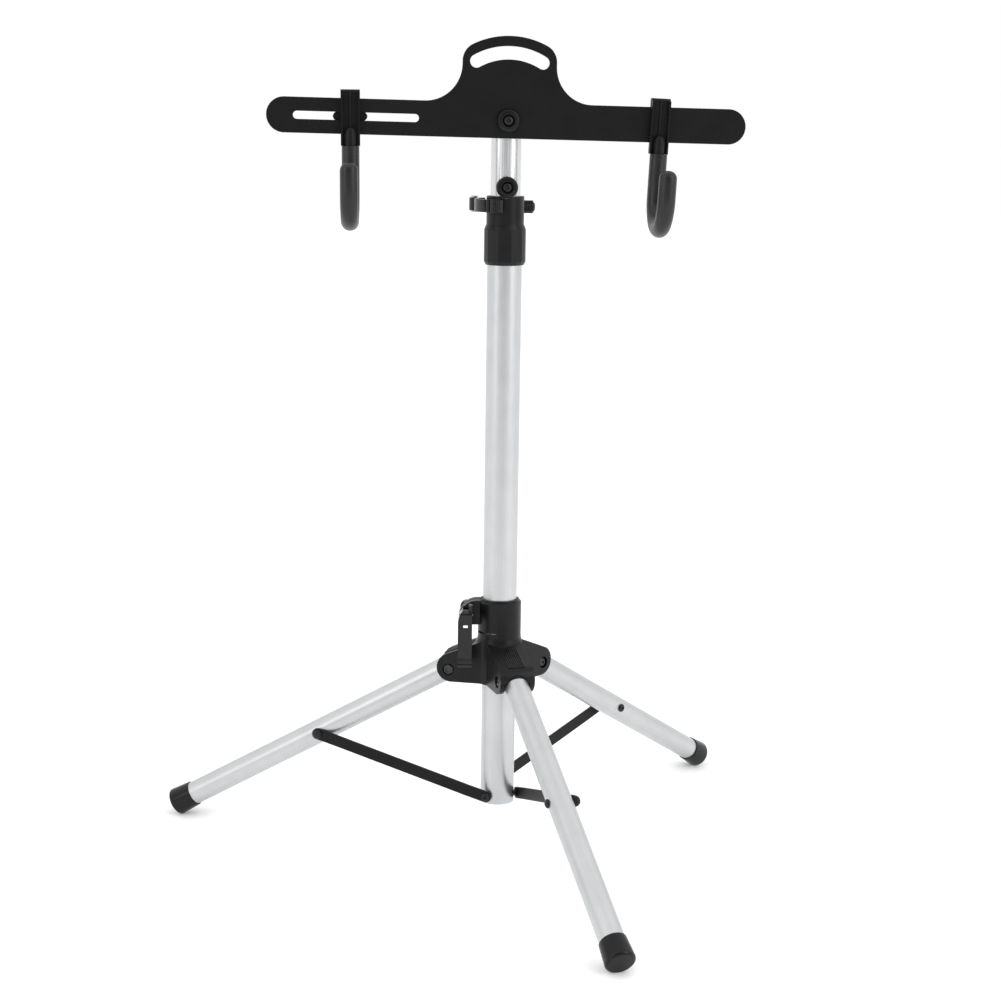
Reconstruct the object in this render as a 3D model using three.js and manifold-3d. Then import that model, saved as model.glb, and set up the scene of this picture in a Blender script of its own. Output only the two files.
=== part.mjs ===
// Folding bicycle repair stand: a three-legged base that folds like an umbrella, a sliding mast
// and a tilting plate with a carrying handle and two hooks. Millimetres, +Z up.
// In the stand's own group the column axis is x = y = 0 and the floor is z = 0.

import * as THREE from 'three';
import { mergeVertices } from 'three/addons/utils/BufferGeometryUtils.js';
import Module from 'manifold-3d';

const wasm = await Module();
wasm.setup();

// ---------------------------------------------------------------- driving dimensions
const fit = 0.3;                   // gap between two pieces that meet
const fineSides = 24;              // facets round a tube
const smallSides = 12;             // facets round a bolt
const pegSides = 8;                // facets round a hidden shank or hole
const boltRadius = 3;              // M6 fasteners

const baseTurn = -5.2;             // base turned on the column, degrees, against the plate
const legAzimuths = [48.4, 168.4, 288.4];

const columnRadius = 17.5;
const columnBore = 15.9;
const columnFoot = 45;
const columnTop = 645;
const plugTop = 63;

const mastRadius = 15;
const mastBore = 13.4;
const mastFoot = 175;
const mastTop = 776;
const stopHeight = 686.2;
const plateHeight = 751.4;
const plateTilt = 0.8;             // degrees, right end lower

const collar = { foot: 609, chamfer: 3.5, step: 644, shoulder: 649.5, top: 677.5, wide: 21.1, slim: 18.9 };
const upperClamp = { boltY: 21.5, boltZ: 666, pinX: -31.5, camX: -28.5, camRadius: 8.2, lugHalf: 12 };
const upperLever = { foot: 662, top: 674.6, inner: 27.8, outer: 31.2, from: 152, to: 262 };

const hub = { foot: 175.6, deck: 222, top: 264.5, rim: 3, radius: 22.35, boss: 24, bore: 17.8 };
const hubSlit = { low: 229, high: 230.6, from: 172, to: 263 };
const hubClamp = {
  x: -34.8, boltZ: 251.5, lugFoot: 237.5, lugHalf: 9, outer: -41.5, corner: 19.5,
  pinY: -23.3, camY: -20.5, camRadius: 10.3,
};
const hubLever = {
  width: 13.6, foot: 197, front: -30.4, thick: 4, lip: 205,
  windowZ: 240, windowHalf: 2.3, windowTall: 1.8,
};

const legRadius = 12.5;
const legBore = 11.2;
const legPivot = { r: 50, z: 188.6 };
const legSlope = 29.83;            // degrees below horizontal
const legLength = 356.5;           // pivot to the end of the foot
const cheek = { inner: 13, outer: 18.5, recess: 2.9, recessRadius: 6.2 };
const yoke = { endR: 47.2, endZ: 190.8, endRadius: 15.2, roofFall: 22.5 };
const foot = { length: 25, rim: 13.6, end: 14.9, round: 2.5, sole: 2.6 };

const brace = { width: 12, thick: 3, r: 8.3, z: 53.5, along: 164.9, inner: 17.8, outer: 12.8 };

const plate = { back: -16.3, thick: 3.5, half: 237, bar: 17.3, neck: 46.4, fillet: 36.2 };
const arch = { outer: 81.5, shoulder: 18, slot: 65.3, slotHalf: 6.4, slotSweep: 30.1 };
const hookSlot = { from: -211, to: -88, half: 3.9 };
const hookX = { left: -155.2, right: 151.2 };
const hookLean = 1.6;              // degrees, lower end to the left
const hook = {
  y: -27.2, rubber: 8.65, core: 4, bend: 30, lowest: -109, tip: -43, tipRound: 3.5, start: -28.4,
  coreTop: -8,
};
const bracket = { half: 9.4, top: 25.8, foot: -28.1, sheet: 2.4, lip: 1.8, lipFront: -26.6, rib: 6.3 };
const knob = { front: -12.8, depth: 14, radius: 15.2, lobe: 1.8, lobes: 6, boss: 7.5 };

const rad = THREE.MathUtils.degToRad;
const plateFront = plate.back - plate.thick;

// ---------------------------------------------------------------- finishes
const finishes = {
  anodised: { color: 0xc8ccd0, roughness: 0.34, metalness: 0.9 },
  bright: { color: 0xd9dcdf, roughness: 0.22, metalness: 0.95 },
  mould: { color: 0x2b2c2e, roughness: 0.55, metalness: 0 },
  paint: { color: 0x1d1d1f, roughness: 0.5, metalness: 0.2 },
  rubber: { color: 0x3a3b3d, roughness: 0.75, metalness: 0 },
  footRubber: { color: 0x18181a, roughness: 0.45, metalness: 0 },
  zinc: { color: 0xa9adb0, roughness: 0.3, metalness: 1 },
  blackZinc: { color: 0x202124, roughness: 0.4, metalness: 0.7 },
};

function piece(parent, name, geometry, finish) {
  const mesh = new THREE.Mesh(geometry, new THREE.MeshStandardMaterial(finishes[finish]));
  mesh.name = name;
  parent.add(mesh);
}

// ---------------------------------------------------------------- shaping helpers
function toSolid(geometry) {
  const bare = geometry.clone();
  bare.deleteAttribute('normal');
  bare.deleteAttribute('uv');
  const merged = mergeVertices(bare, 1e-4);
  return new wasm.Manifold(new wasm.Mesh({
    numProp: 3,
    vertProperties: Float32Array.from(merged.attributes.position.array),
    triVerts: Uint32Array.from(merged.index.array),
  }));
}

function toGeometry(solid) {
  const mesh = solid.getMesh();
  const geometry = new THREE.BufferGeometry();
  geometry.setAttribute('position', new THREE.BufferAttribute(mesh.vertProperties, 3));
  geometry.setIndex(new THREE.BufferAttribute(mesh.triVerts, 1));
  geometry.computeVertexNormals();
  return geometry;
}

function join(...geometries) {
  return toGeometry(geometries.map(toSolid).reduce((sum, next) => sum.add(next)));
}

function cut(geometry, ...tools) {
  return toGeometry(tools.map(toSolid).reduce((sum, next) => sum.subtract(next), toSolid(geometry)));
}

function common(a, b) {
  return toGeometry(toSolid(a).intersect(toSolid(b)));
}

// A profile of [radius, height] corners turned about +Z. It ends on the axis or closes on itself.
function turned(corners, sides = smallSides) {
  const points = corners.map(([radius, height]) => new THREE.Vector2(radius, height));
  return new THREE.LatheGeometry(points, sides).rotateX(Math.PI / 2);
}

function rod(radius, from, to, sides = smallSides) {
  return turned([[0, from], [radius, from], [radius, to], [0, to]], sides);
}

function pipe(outer, inner, from, to, sides = fineSides) {
  return turned([[inner, from], [outer, from], [outer, to], [inner, to], [inner, from]], sides);
}

function alongX(geometry) {
  return geometry.rotateY(Math.PI / 2);
}

function alongY(geometry) {
  return geometry.rotateX(-Math.PI / 2);
}

function block(x0, x1, y0, y1, z0, z1) {
  return new THREE.BoxGeometry(x1 - x0, y1 - y0, z1 - z0)
    .translate((x0 + x1) / 2, (y0 + y1) / 2, (z0 + z1) / 2);
}

// A flat outline drawn in x and z, given a thickness from y0 to y1.
function slab(shape, y0, y1, curveSegments = 4) {
  return new THREE.ExtrudeGeometry(shape, { depth: y1 - y0, bevelEnabled: false, curveSegments })
    .rotateX(Math.PI / 2).translate(0, y1, 0);
}

// A flat outline drawn in x and y, given a height from z0 to z1.
function layer(shape, z0, z1, curveSegments = 4) {
  return new THREE.ExtrudeGeometry(shape, { depth: z1 - z0, bevelEnabled: false, curveSegments })
    .translate(0, 0, z0);
}

function hexagon(across) {
  const shape = new THREE.Shape();
  const corner = across / 2 / Math.cos(Math.PI / 6);
  for (let i = 0; i < 6; i += 1) {
    const angle = i * Math.PI / 3;
    const move = i === 0 ? 'moveTo' : 'lineTo';
    shape[move](corner * Math.cos(angle), corner * Math.sin(angle));
  }
  shape.closePath();
  return shape;
}

function nut(across, from, to) {
  return cut(layer(hexagon(across), from, to), rod(boltRadius + fit, from - 1, to + 1));
}

// A button-head screw along +Z: the head's flat underside is at `seat`, the dome points to -Z.
function buttonScrew(seat, tip, headRadius = 5.2, headHeight = 3.2) {
  const dome = [25, 62].map((angle) =>
    [headRadius * Math.cos(rad(angle)), seat - headHeight * Math.sin(rad(angle))]);
  return turned([[0, seat - headHeight], ...dome.reverse(), [headRadius, seat], [boltRadius, seat],
    [boltRadius, tip], [0, tip]]);
}

function ringSector(inner, outer, fromDegrees, toDegrees) {
  const shape = new THREE.Shape();
  shape.absarc(0, 0, outer, rad(fromDegrees), rad(toDegrees), false);
  shape.absarc(0, 0, inner, rad(toDegrees), rad(fromDegrees), true);
  shape.closePath();
  return shape;
}

function disc(x, y, radius) {
  const shape = new THREE.Shape();
  shape.absarc(x, y, radius, 0, 2 * Math.PI, false);
  return shape;
}

// ---------------------------------------------------------------- groups
const stand = new THREE.Group();
const base = new THREE.Group();
base.rotation.z = rad(baseTurn);
stand.add(base);
const head = new THREE.Group();
head.position.z = plateHeight;
head.rotation.y = rad(plateTilt);
stand.add(head);

// ---------------------------------------------------------------- column
const braceScrewHole = () => alongY(rod(boltRadius + fit, 9, columnRadius + 2))
  .translate(brace.r, 0, brace.z);
const braceScrewHoles = () => legAzimuths.map((azimuth) => braceScrewHole().rotateZ(rad(azimuth)));

piece(base, 'main_tube',
  cut(pipe(columnRadius, columnBore, columnFoot, columnTop), ...braceScrewHoles()), 'anodised');

const plugRadius = columnBore - fit;
piece(base, 'column_bottom_plug',
  cut(rod(plugRadius, columnFoot + 1, plugTop, fineSides), ...braceScrewHoles()), 'mould');

// ---------------------------------------------------------------- upper collar and its clamp
function upperCollar() {
  const tubeBore = columnRadius + fit;
  const mastHole = mastRadius + fit;
  const body = turned([
    [tubeBore, collar.foot], [collar.wide - collar.chamfer / 2, collar.foot],
    [collar.wide, collar.foot + collar.chamfer], [collar.wide, collar.step],
    [collar.slim, collar.shoulder], [collar.slim, collar.top], [mastHole, collar.top],
    [mastHole, columnTop + fit], [tubeBore, columnTop + fit], [tubeBore, collar.foot],
  ], fineSides);
  const { boltY, boltZ, lugHalf } = upperClamp;
  const lugs = cut(block(-lugHalf, lugHalf, 12, boltY + 6.5, boltZ - 9.5, boltZ + 9.5),
    rod(mastHole + 1, boltZ - 12, boltZ + 12, fineSides));
  return cut(join(body, lugs),
    block(-1, 1, 10, boltY + 8, collar.shoulder + 2, collar.top + 2),
    alongX(rod(boltRadius + fit, -20, 20)).translate(0, boltY, boltZ),
    alongY(rod(11.3, -30, 0, fineSides)).translate(0, 0, stopHeight).rotateZ(rad(-baseTurn)));
}
piece(base, 'upper_collar', upperCollar(), 'mould');

// The clamp bolt has an eye for the lever's pin at one end and a broad pressure flange.
function eyeBolt(eyeAt, flangeAt, flangeEnd, tip, flangeRadius) {
  const eyeHalf = 2.7;
  const eyeRadius = 5;
  const stem = turned([
    [0, eyeAt], [boltRadius - fit, eyeAt], [boltRadius - fit, flangeAt], [flangeRadius, flangeAt],
    [flangeRadius, flangeEnd], [boltRadius, flangeEnd], [boltRadius, tip], [0, tip],
  ]);
  const eye = slab(disc(0, 0, eyeRadius), -eyeHalf, eyeHalf).translate(0, 0, eyeAt);
  const pinHole = alongY(rod(2 + fit, -5, 5)).translate(0, 0, eyeAt);
  return cut(join(stem, eye), pinHole);
}

function leverPin(half) {
  return rod(2, -half, half);
}

// Knurled thumb nut along +Z from `from`, domed at the far end, with a blind threaded hole.
function knurledNut(from, length, radius) {
  const ribs = 12;
  const outline = new THREE.Shape();
  for (let i = 0; i < 2 * ribs; i += 1) {
    const angle = i * Math.PI / ribs;
    const r = i % 2 === 0 ? radius : radius - 0.5;
    const move = i === 0 ? 'moveTo' : 'lineTo';
    outline[move](r * Math.cos(angle), r * Math.sin(angle));
  }
  outline.closePath();
  const dome = turned([[0, from + length - 3], [radius - 1.6, from + length - 3],
    [radius - 2.2, from + length - 1], [radius - 4, from + length], [0, from + length]]);
  return cut(join(layer(outline, from, from + length - 2), dome),
    rod(boltRadius + fit, from - 1, from + length - 4));
}

const camFace = upperClamp.camX + upperClamp.camRadius;
piece(base, 'upper_clamp_bolt',
  alongX(eyeBolt(upperClamp.pinX, camFace + fit, -upperClamp.lugHalf - fit, 24, 7)
    .rotateZ(Math.PI / 2)).translate(0, upperClamp.boltY, upperClamp.boltZ), 'zinc');
piece(base, 'upper_clamp_nut',
  alongX(knurledNut(upperClamp.lugHalf + fit, 17.6, 6.5))
    .translate(0, upperClamp.boltY, upperClamp.boltZ), 'blackZinc');
piece(base, 'upper_lever_pin',
  leverPin(8.2).translate(upperClamp.pinX, upperClamp.boltY, (upperLever.foot + upperLever.top) / 2),
  'bright');

function upperClampLever() {
  const { foot: low, top, inner, outer, from, to } = upperLever;
  const { camX, boltY, boltZ, camRadius, pinX } = upperClamp;
  const band = layer(ringSector(inner, outer, from, to), low, top, 7);
  const cam = layer(disc(camX, boltY, camRadius), low, top, 8);
  const ridges = [to - 3, to - 15].map((azimuth) =>
    rod(1.7, low, top, pegSides).translate(outer, 0, 0).rotateZ(rad(azimuth)));
  const eyeSlot = cut(layer(disc(pinX, boltY, 13), boltZ - 3, boltZ + 3),
    block(-60, 0, boltY - 40, boltY - 8, boltZ - 5, boltZ + 5));
  return cut(join(band, cam, ...ridges), eyeSlot,
    rod(2 + fit, low - 2, top + 2).translate(pinX, boltY, 0));
}
piece(base, 'upper_clamp_lever', upperClampLever(), 'mould');

// ---------------------------------------------------------------- hub
// Local frame of a yoke and of a leg: x outward from the column, y to the side, z up.
function yokeOutline() {
  const { endR, endZ, endRadius, roofFall } = yoke;
  const topAngle = Math.PI / 2 - rad(roofFall);
  const topR = endR + endRadius * Math.cos(topAngle);
  const topZ = endZ + endRadius * Math.sin(topAngle);
  const rootR = 10;
  const shape = new THREE.Shape();
  shape.moveTo(rootR, hub.foot);
  shape.absarc(endR, endZ, endRadius, -Math.PI / 2, topAngle, false);
  shape.lineTo(rootR, topZ + (topR - rootR) * Math.tan(rad(roofFall)));
  shape.closePath();
  return shape;
}

// The room a leg needs in its yoke: round above its axis, straight-sided below the pivot.
function legBay() {
  const bayRadius = legRadius + fit + 0.2;
  const ball = new THREE.SphereGeometry(bayRadius, fineSides, 12).rotateX(Math.PI / 2);
  const barrel = alongX(rod(bayRadius, 0, 40, fineSides)).rotateY(rad(legSlope));
  const below = block(-bayRadius - 1, 40, -cheek.inner, cheek.inner, -40, 0);
  return join(ball, barrel, below).translate(legPivot.r, 0, legPivot.z);
}

// The clamp ear seen from the front: its upper outer corner is one large round.
function earOutline(lowZ) {
  const { outer, corner } = hubClamp;
  const innerX = -12;
  const shape = new THREE.Shape();
  shape.moveTo(innerX, lowZ);
  shape.lineTo(innerX, hub.top);
  shape.absarc(outer + corner, hub.top - corner, corner, Math.PI / 2, Math.PI, false);
  shape.lineTo(outer, lowZ);
  shape.closePath();
  return shape;
}

function hubBody() {
  const core = turned([[0, hub.foot], [hub.boss, hub.foot], [hub.boss, hub.deck - 1.5],
    [hub.radius, hub.deck], [hub.radius, hub.top - hub.rim], [hub.radius - hub.rim, hub.top],
    [0, hub.top]], fineSides);
  const lugs = slab(earOutline(hubClamp.lugFoot), -hubClamp.lugHalf, hubClamp.lugHalf);
  const yokes = legAzimuths.map((azimuth) =>
    slab(yokeOutline(), -cheek.outer, cheek.outer, 5).rotateZ(rad(azimuth)));
  const bays = legAzimuths.map((azimuth) => legBay().rotateZ(rad(azimuth)));
  const pivots = legAzimuths.flatMap((azimuth) => [
    alongY(rod(boltRadius + fit, -30, 30)),
    alongY(rod(cheek.recessRadius, cheek.outer - cheek.recess, 30)),
    alongY(rod(cheek.recessRadius, -30, cheek.recess - cheek.outer)),
  ].map((tool) => tool.translate(legPivot.r, 0, legPivot.z).rotateZ(rad(azimuth))));
  const slit = layer(ringSector(hub.bore - 2, 40, hubSlit.from, hubSlit.to), hubSlit.low, hubSlit.high, 4);
  return cut(join(core, lugs, ...yokes), ...bays, ...pivots, slit,
    rod(hub.bore, hub.foot - 5, hub.top + 5, fineSides),
    block(-60, -10, -1, 1, hubSlit.low, hub.top + 5),
    alongY(rod(boltRadius + fit, -30, 30)).translate(hubClamp.x, 0, hubClamp.boltZ));
}
piece(base, 'hub', hubBody(), 'mould');

const hubFlangeEnd = -hubClamp.lugHalf - fit;
piece(base, 'hub_clamp_bolt',
  alongY(eyeBolt(hubClamp.pinY, hubFlangeEnd - 0.6, hubFlangeEnd, 15, 6.4).rotateZ(Math.PI / 2))
    .translate(hubClamp.x, 0, hubClamp.boltZ), 'zinc');
piece(base, 'hub_clamp_nut',
  alongY(knurledNut(hubClamp.lugHalf + fit, 11, 6.5)).translate(hubClamp.x, 0, hubClamp.boltZ),
  'blackZinc');
piece(base, 'hub_lever_pin',
  alongX(leverPin(hubLever.width / 2 + 0.5)).translate(hubClamp.x, hubClamp.pinY, hubClamp.boltZ),
  'bright');

function hubClampLever() {
  const { x, pinY, camY, camRadius, boltZ } = hubClamp;
  const { width, foot: low, front, thick, lip, windowZ, windowHalf, windowTall } = hubLever;
  const from = x - width / 2;
  const to = x + width / 2;
  const cam = alongX(rod(camRadius, from, to, 20)).translate(0, camY, boltZ);
  const strap = block(from, to, front, front + thick, low + 2, boltZ);
  const tip = alongX(rod(2.6, from, to, smallSides)).translate(0, front + 2, low + 2.6);
  const ridge = alongX(rod(2, from, to, 12)).translate(0, front + 0.3, lip);
  const eyeSlot = cut(alongX(rod(camRadius + 6, x - 3, x + 3, smallSides)).translate(0, pinY, boltZ),
    block(x - 5, x + 5, front - 10, camY + 20, boltZ - 40, boltZ - 6.5));
  const face = slab(earOutline(low - 1), front - 10, 0);
  return cut(common(join(cam, strap, tip, ridge), face), eyeSlot,
    alongX(rod(2 + fit, from - 2, to + 2)).translate(0, pinY, boltZ),
    block(x - windowHalf, x + windowHalf, front - 2, front + thick + 2, windowZ - windowTall,
      windowZ + windowTall));
}
piece(base, 'hub_clamp_lever', hubClampLever(), 'mould');

// ---------------------------------------------------------------- legs and braces
const slopeSin = Math.sin(rad(legSlope));
const slopeCos = Math.cos(rad(legSlope));
const bracePoint = { r: legPivot.r + brace.along * slopeCos, z: legPivot.z - brace.along * slopeSin };
const braceLength = Math.hypot(bracePoint.r - brace.r, bracePoint.z - brace.z);
const braceRise = Math.atan2(bracePoint.z - brace.z, bracePoint.r - brace.r);
const tubeStart = 9;
const tubeEnd = legLength - 3;

function legTube() {
  const boltHole = alongY(rod(boltRadius + fit, -20, 20)).translate(brace.along, 0, 0);
  return cut(alongX(pipe(legRadius, legBore, tubeStart, tubeEnd)), boltHole);
}

function legTopPlug() {
  const stem = legBore - fit;
  const round = [0, 30, 60].map((angle) =>
    [legRadius * Math.sin(rad(angle)), -legRadius * Math.cos(rad(angle))]);
  const body = turned([...round, [legRadius, 0], [legRadius, tubeStart - fit],
    [stem, tubeStart - fit], [stem, tubeStart + 24], [0, tubeStart + 24]], 20);
  return cut(alongX(body), alongY(rod(boltRadius + fit, -20, 20)));
}

function legFoot() {
  const start = legLength - foot.length;
  const bore = legRadius + fit;
  const corner = [0, 45, 90].map((angle) => [
    foot.end - foot.round * (1 - Math.cos(rad(angle))),
    legLength - foot.round * (1 - Math.sin(rad(angle))),
  ]);
  const cap = alongX(turned([[0, legLength - foot.sole], [bore, legLength - foot.sole], [bore, start],
    [foot.rim, start], ...corner, [0, legLength]], fineSides));
  const ground = block(-40, 60, -40, 40, -20, 0)
    .translate(legLength * slopeCos, 0, -legPivot.z)
    .rotateY(-rad(legSlope));
  return cut(cap, ground);
}

// A screw along +Y whose dome head sits at y = seat and whose shank ends at y = tip.
const screwAlongY = (seat, tip, headRadius, headHeight) =>
  alongY(buttonScrew(seat, tip, headRadius, headHeight));

function domeNut(seat, stubEnd) {
  const height = 4.5;
  const dome = [25, 60].map((angle) =>
    [4.4 * Math.cos(rad(angle)), seat + 1.6 + (height - 1.6) * Math.sin(rad(angle))]);
  return alongY(turned([[0, stubEnd], [boltRadius - fit, stubEnd], [boltRadius - fit, seat], [5.2, seat],
    [5.2, seat + 1.6], ...dome, [0, seat + height]]));
}

function braceBar() {
  const endRadius = brace.width / 2;
  const bendNear = 20;
  const bendFar = braceLength - 22;
  const reach = braceLength + endRadius;
  const outline = new THREE.Shape();
  outline.absarc(0, 0, endRadius, Math.PI / 2, 1.5 * Math.PI, false);
  outline.absarc(braceLength, 0, endRadius, -Math.PI / 2, Math.PI / 2, false);
  outline.closePath();
  const strip = new THREE.Shape();
  strip.moveTo(-endRadius - 1, brace.inner);
  strip.lineTo(bendNear, brace.inner);
  strip.lineTo(bendFar, brace.outer);
  strip.lineTo(reach + 1, brace.outer);
  strip.lineTo(reach + 1, brace.outer + brace.thick);
  strip.lineTo(bendFar, brace.outer + brace.thick);
  strip.lineTo(bendNear, brace.inner + brace.thick);
  strip.lineTo(-endRadius - 1, brace.inner + brace.thick);
  strip.closePath();
  const bar = common(slab(outline, brace.outer - 2, brace.inner + brace.thick + 2),
    layer(strip, -endRadius - 2, endRadius + 2));
  const hole = () => alongY(rod(boltRadius + fit, 8, 26));
  return cut(bar, hole(), hole().translate(braceLength, 0, 0));
}

legAzimuths.forEach((azimuth, index) => {
  const number = index + 1;
  const frame = new THREE.Group();
  frame.rotation.z = rad(azimuth);
  base.add(frame);

  const pivot = new THREE.Group();
  pivot.position.set(legPivot.r, 0, legPivot.z);
  frame.add(pivot);
  const recessFloor = cheek.outer - cheek.recess;
  piece(pivot, `leg_pivot_bolt_${number}`,
    screwAlongY(-recessFloor - fit, cheek.outer - 1, 5.2, 2.5), 'zinc');
  piece(pivot, `leg_pivot_nut_${number}`,
    alongY(nut(9.4, recessFloor + fit, cheek.outer - 0.2)), 'zinc');

  const leg = new THREE.Group();
  leg.rotation.y = rad(legSlope);
  pivot.add(leg);
  piece(leg, `leg_tube_${number}`, legTube(), 'anodised');
  piece(leg, `leg_top_plug_${number}`, legTopPlug(), 'mould');
  piece(leg, `leg_foot_${number}`, legFoot(), 'footRubber');
  piece(leg, `leg_brace_bolt_${number}`,
    screwAlongY(-legRadius - fit, legRadius, 4.6, 2.8).translate(brace.along, 0, 0), 'blackZinc');

  const link = new THREE.Group();
  link.position.set(brace.r, 0, brace.z);
  link.rotation.y = -braceRise;
  frame.add(link);
  piece(link, `brace_${number}`, braceBar(), 'paint');
  piece(link, `brace_nut_${number}`,
    domeNut(brace.outer + brace.thick + fit, brace.outer + fit).translate(braceLength, 0, 0),
    'blackZinc');
  const screwSeat = brace.inner + brace.thick + fit;
  const screw = screwAlongY(-screwSeat, -11, 4.6, 2.8).rotateZ(Math.PI);
  const screwPlace = new THREE.Group();
  screwPlace.position.set(brace.r, 0, brace.z);
  frame.add(screwPlace);
  piece(screwPlace, `brace_tube_screw_${number}`, screw, 'blackZinc');
});

// ---------------------------------------------------------------- mast
const boltBore = (height) => alongY(rod(boltRadius + fit, -30, 30)).translate(0, 0, height);

piece(stand, 'inner_tube',
  cut(pipe(mastRadius, mastBore, mastFoot, mastTop - 3), boltBore(stopHeight), boltBore(plateHeight)),
  'bright');
piece(stand, 'inner_tube_cap',
  turned([[0, mastTop - 15], [mastBore - fit, mastTop - 15], [mastBore - fit, mastTop - 3 + fit],
    [mastRadius - 0.2, mastTop - 3 + fit], [mastRadius - 0.2, mastTop - 1], [mastRadius - 1.2, mastTop],
    [0, mastTop]], fineSides), 'mould');
piece(stand, 'inner_tube_guide',
  turned([[6, mastFoot - 4], [columnBore - fit, mastFoot - 4], [columnBore - fit, mastFoot - fit],
    [mastBore - fit, mastFoot - fit], [mastBore - fit, mastFoot + 16], [6, mastFoot + 16],
    [6, mastFoot - 4]], fineSides), 'mould');

// A cup washer along +Y: its back is cut to the mast where it sits on it, its front holds the head.
function cupWasher(radius, frontY, backY, height) {
  const recess = 5.9;
  const floor = frontY + 3.6;
  const cup = alongY(turned([[boltRadius + fit, backY], [radius, backY], [radius, frontY + 1.6],
    [radius - 1.6, frontY], [recess, frontY], [recess, floor], [boltRadius + fit, floor],
    [boltRadius + fit, backY]].reverse(), 20)).translate(0, 0, height);
  return cut(cup, rod(mastRadius + fit, height - 20, height + 20, fineSides));
}

const stopCup = { radius: 10.75, front: -21.2, back: -10.8 };
piece(stand, 'stop_bolt_cap', cupWasher(stopCup.radius, stopCup.front, stopCup.back, stopHeight),
  'mould');
piece(stand, 'stop_bolt',
  screwAlongY(stopCup.front + 3.4, 20, 5.4, 3).translate(0, 0, stopHeight), 'blackZinc');
piece(stand, 'stop_bolt_nut',
  alongY(nut(10, mastRadius + fit, mastRadius + 5)).translate(0, 0, stopHeight), 'zinc');

const saddle = { half: 12, tall: 12.5 };
piece(stand, 'plate_saddle',
  cut(block(-saddle.half, saddle.half, plate.back + fit, -9, plateHeight - saddle.tall,
    plateHeight + saddle.tall), rod(mastRadius + fit, plateHeight - 20, plateHeight + 20, fineSides),
  boltBore(plateHeight)), 'mould');

const pivotCup = { radius: 11.25, front: plateFront - 5.4, back: plateFront - fit };
piece(stand, 'pivot_bolt_cap',
  cupWasher(pivotCup.radius, pivotCup.front, pivotCup.back, plateHeight), 'mould');
piece(stand, 'pivot_bolt',
  screwAlongY(pivotCup.front + 3.4, 20, 5.4, 3).translate(0, 0, plateHeight), 'blackZinc');
piece(stand, 'pivot_bolt_nut',
  alongY(nut(10, mastRadius + fit, mastRadius + 5)).translate(0, 0, plateHeight), 'zinc');

// ---------------------------------------------------------------- plate
// Drawn about the pivot: x along the bar, y upward.
function plateOutline() {
  const { half, bar, neck, fillet } = plate;
  const endX = half - bar;
  const filletX = neck + fillet;
  const filletY = bar + fillet;
  const shoulderX = neck - arch.shoulder;
  const shoulderY = Math.sqrt((arch.outer - arch.shoulder) ** 2 - shoulderX ** 2);
  const lean = Math.atan2(shoulderY, shoulderX);
  const shape = new THREE.Shape();
  shape.moveTo(-endX, -bar);
  shape.lineTo(endX, -bar);
  shape.absarc(endX, 0, bar, -Math.PI / 2, Math.PI / 2, false);
  shape.absarc(filletX, filletY, fillet, -Math.PI / 2, -Math.PI, true);
  shape.absarc(shoulderX, shoulderY, arch.shoulder, 0, lean, false);
  shape.absarc(0, 0, arch.outer, lean, Math.PI - lean, false);
  shape.absarc(-shoulderX, shoulderY, arch.shoulder, Math.PI - lean, Math.PI, false);
  shape.absarc(-filletX, filletY, fillet, 0, -Math.PI / 2, true);
  shape.absarc(-endX, 0, bar, Math.PI / 2, 1.5 * Math.PI, false);
  shape.closePath();
  return shape;
}

function handleSlotOutline() {
  const { slot, slotHalf, slotSweep } = arch;
  const start = rad(90 - slotSweep);
  const end = rad(90 + slotSweep);
  const hole = new THREE.Path();
  hole.absarc(0, 0, slot + slotHalf, start, end, false);
  hole.absarc(slot * Math.cos(end), slot * Math.sin(end), slotHalf, end, end + Math.PI, false);
  hole.absarc(0, 0, slot - slotHalf, end, start, true);
  hole.absarc(slot * Math.cos(start), slot * Math.sin(start), slotHalf, start + Math.PI,
    start + 2 * Math.PI, false);
  return hole;
}

function hookSlotOutline() {
  const { from, to, half } = hookSlot;
  const hole = new THREE.Path();
  hole.absarc(to - half, 0, half, -Math.PI / 2, Math.PI / 2, false);
  hole.absarc(from + half, 0, half, Math.PI / 2, 1.5 * Math.PI, false);
  hole.closePath();
  return hole;
}

function roundHole(x, y, radius) {
  const hole = new THREE.Path();
  hole.absarc(x, y, radius, 0, 2 * Math.PI, false);
  return hole;
}

function hookPlate() {
  const shape = plateOutline();
  shape.holes.push(handleSlotOutline(), hookSlotOutline(), roundHole(0, 0, boltRadius + fit),
    roundHole(hookX.right, 0, boltRadius + fit));
  return slab(shape, plateFront, plate.back, 5);
}
piece(head, 'hook_plate', hookPlate(), 'paint');

// ---------------------------------------------------------------- hooks
// Centre line of a hook: down, forward round the bend, and up to the tip.
class HookLine extends THREE.Curve {
  constructor(startZ, endZ) {
    super();
    this.startZ = startZ;
    this.endZ = endZ;
    this.bendZ = hook.lowest + hook.rubber + hook.bend;
  }

  getPoint(share, target = new THREE.Vector3()) {
    const down = this.startZ - this.bendZ;
    const round = Math.PI * hook.bend;
    const up = this.endZ - this.bendZ;
    const travelled = share * (down + round + up);
    if (travelled < down) return target.set(0, hook.y, this.startZ - travelled);
    if (travelled > down + round) {
      return target.set(0, hook.y - 2 * hook.bend, this.bendZ + travelled - down - round);
    }
    const angle = (travelled - down) / hook.bend;
    return target.set(0, hook.y - hook.bend * (1 - Math.cos(angle)),
      this.bendZ - hook.bend * Math.sin(angle));
  }
}

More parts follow.
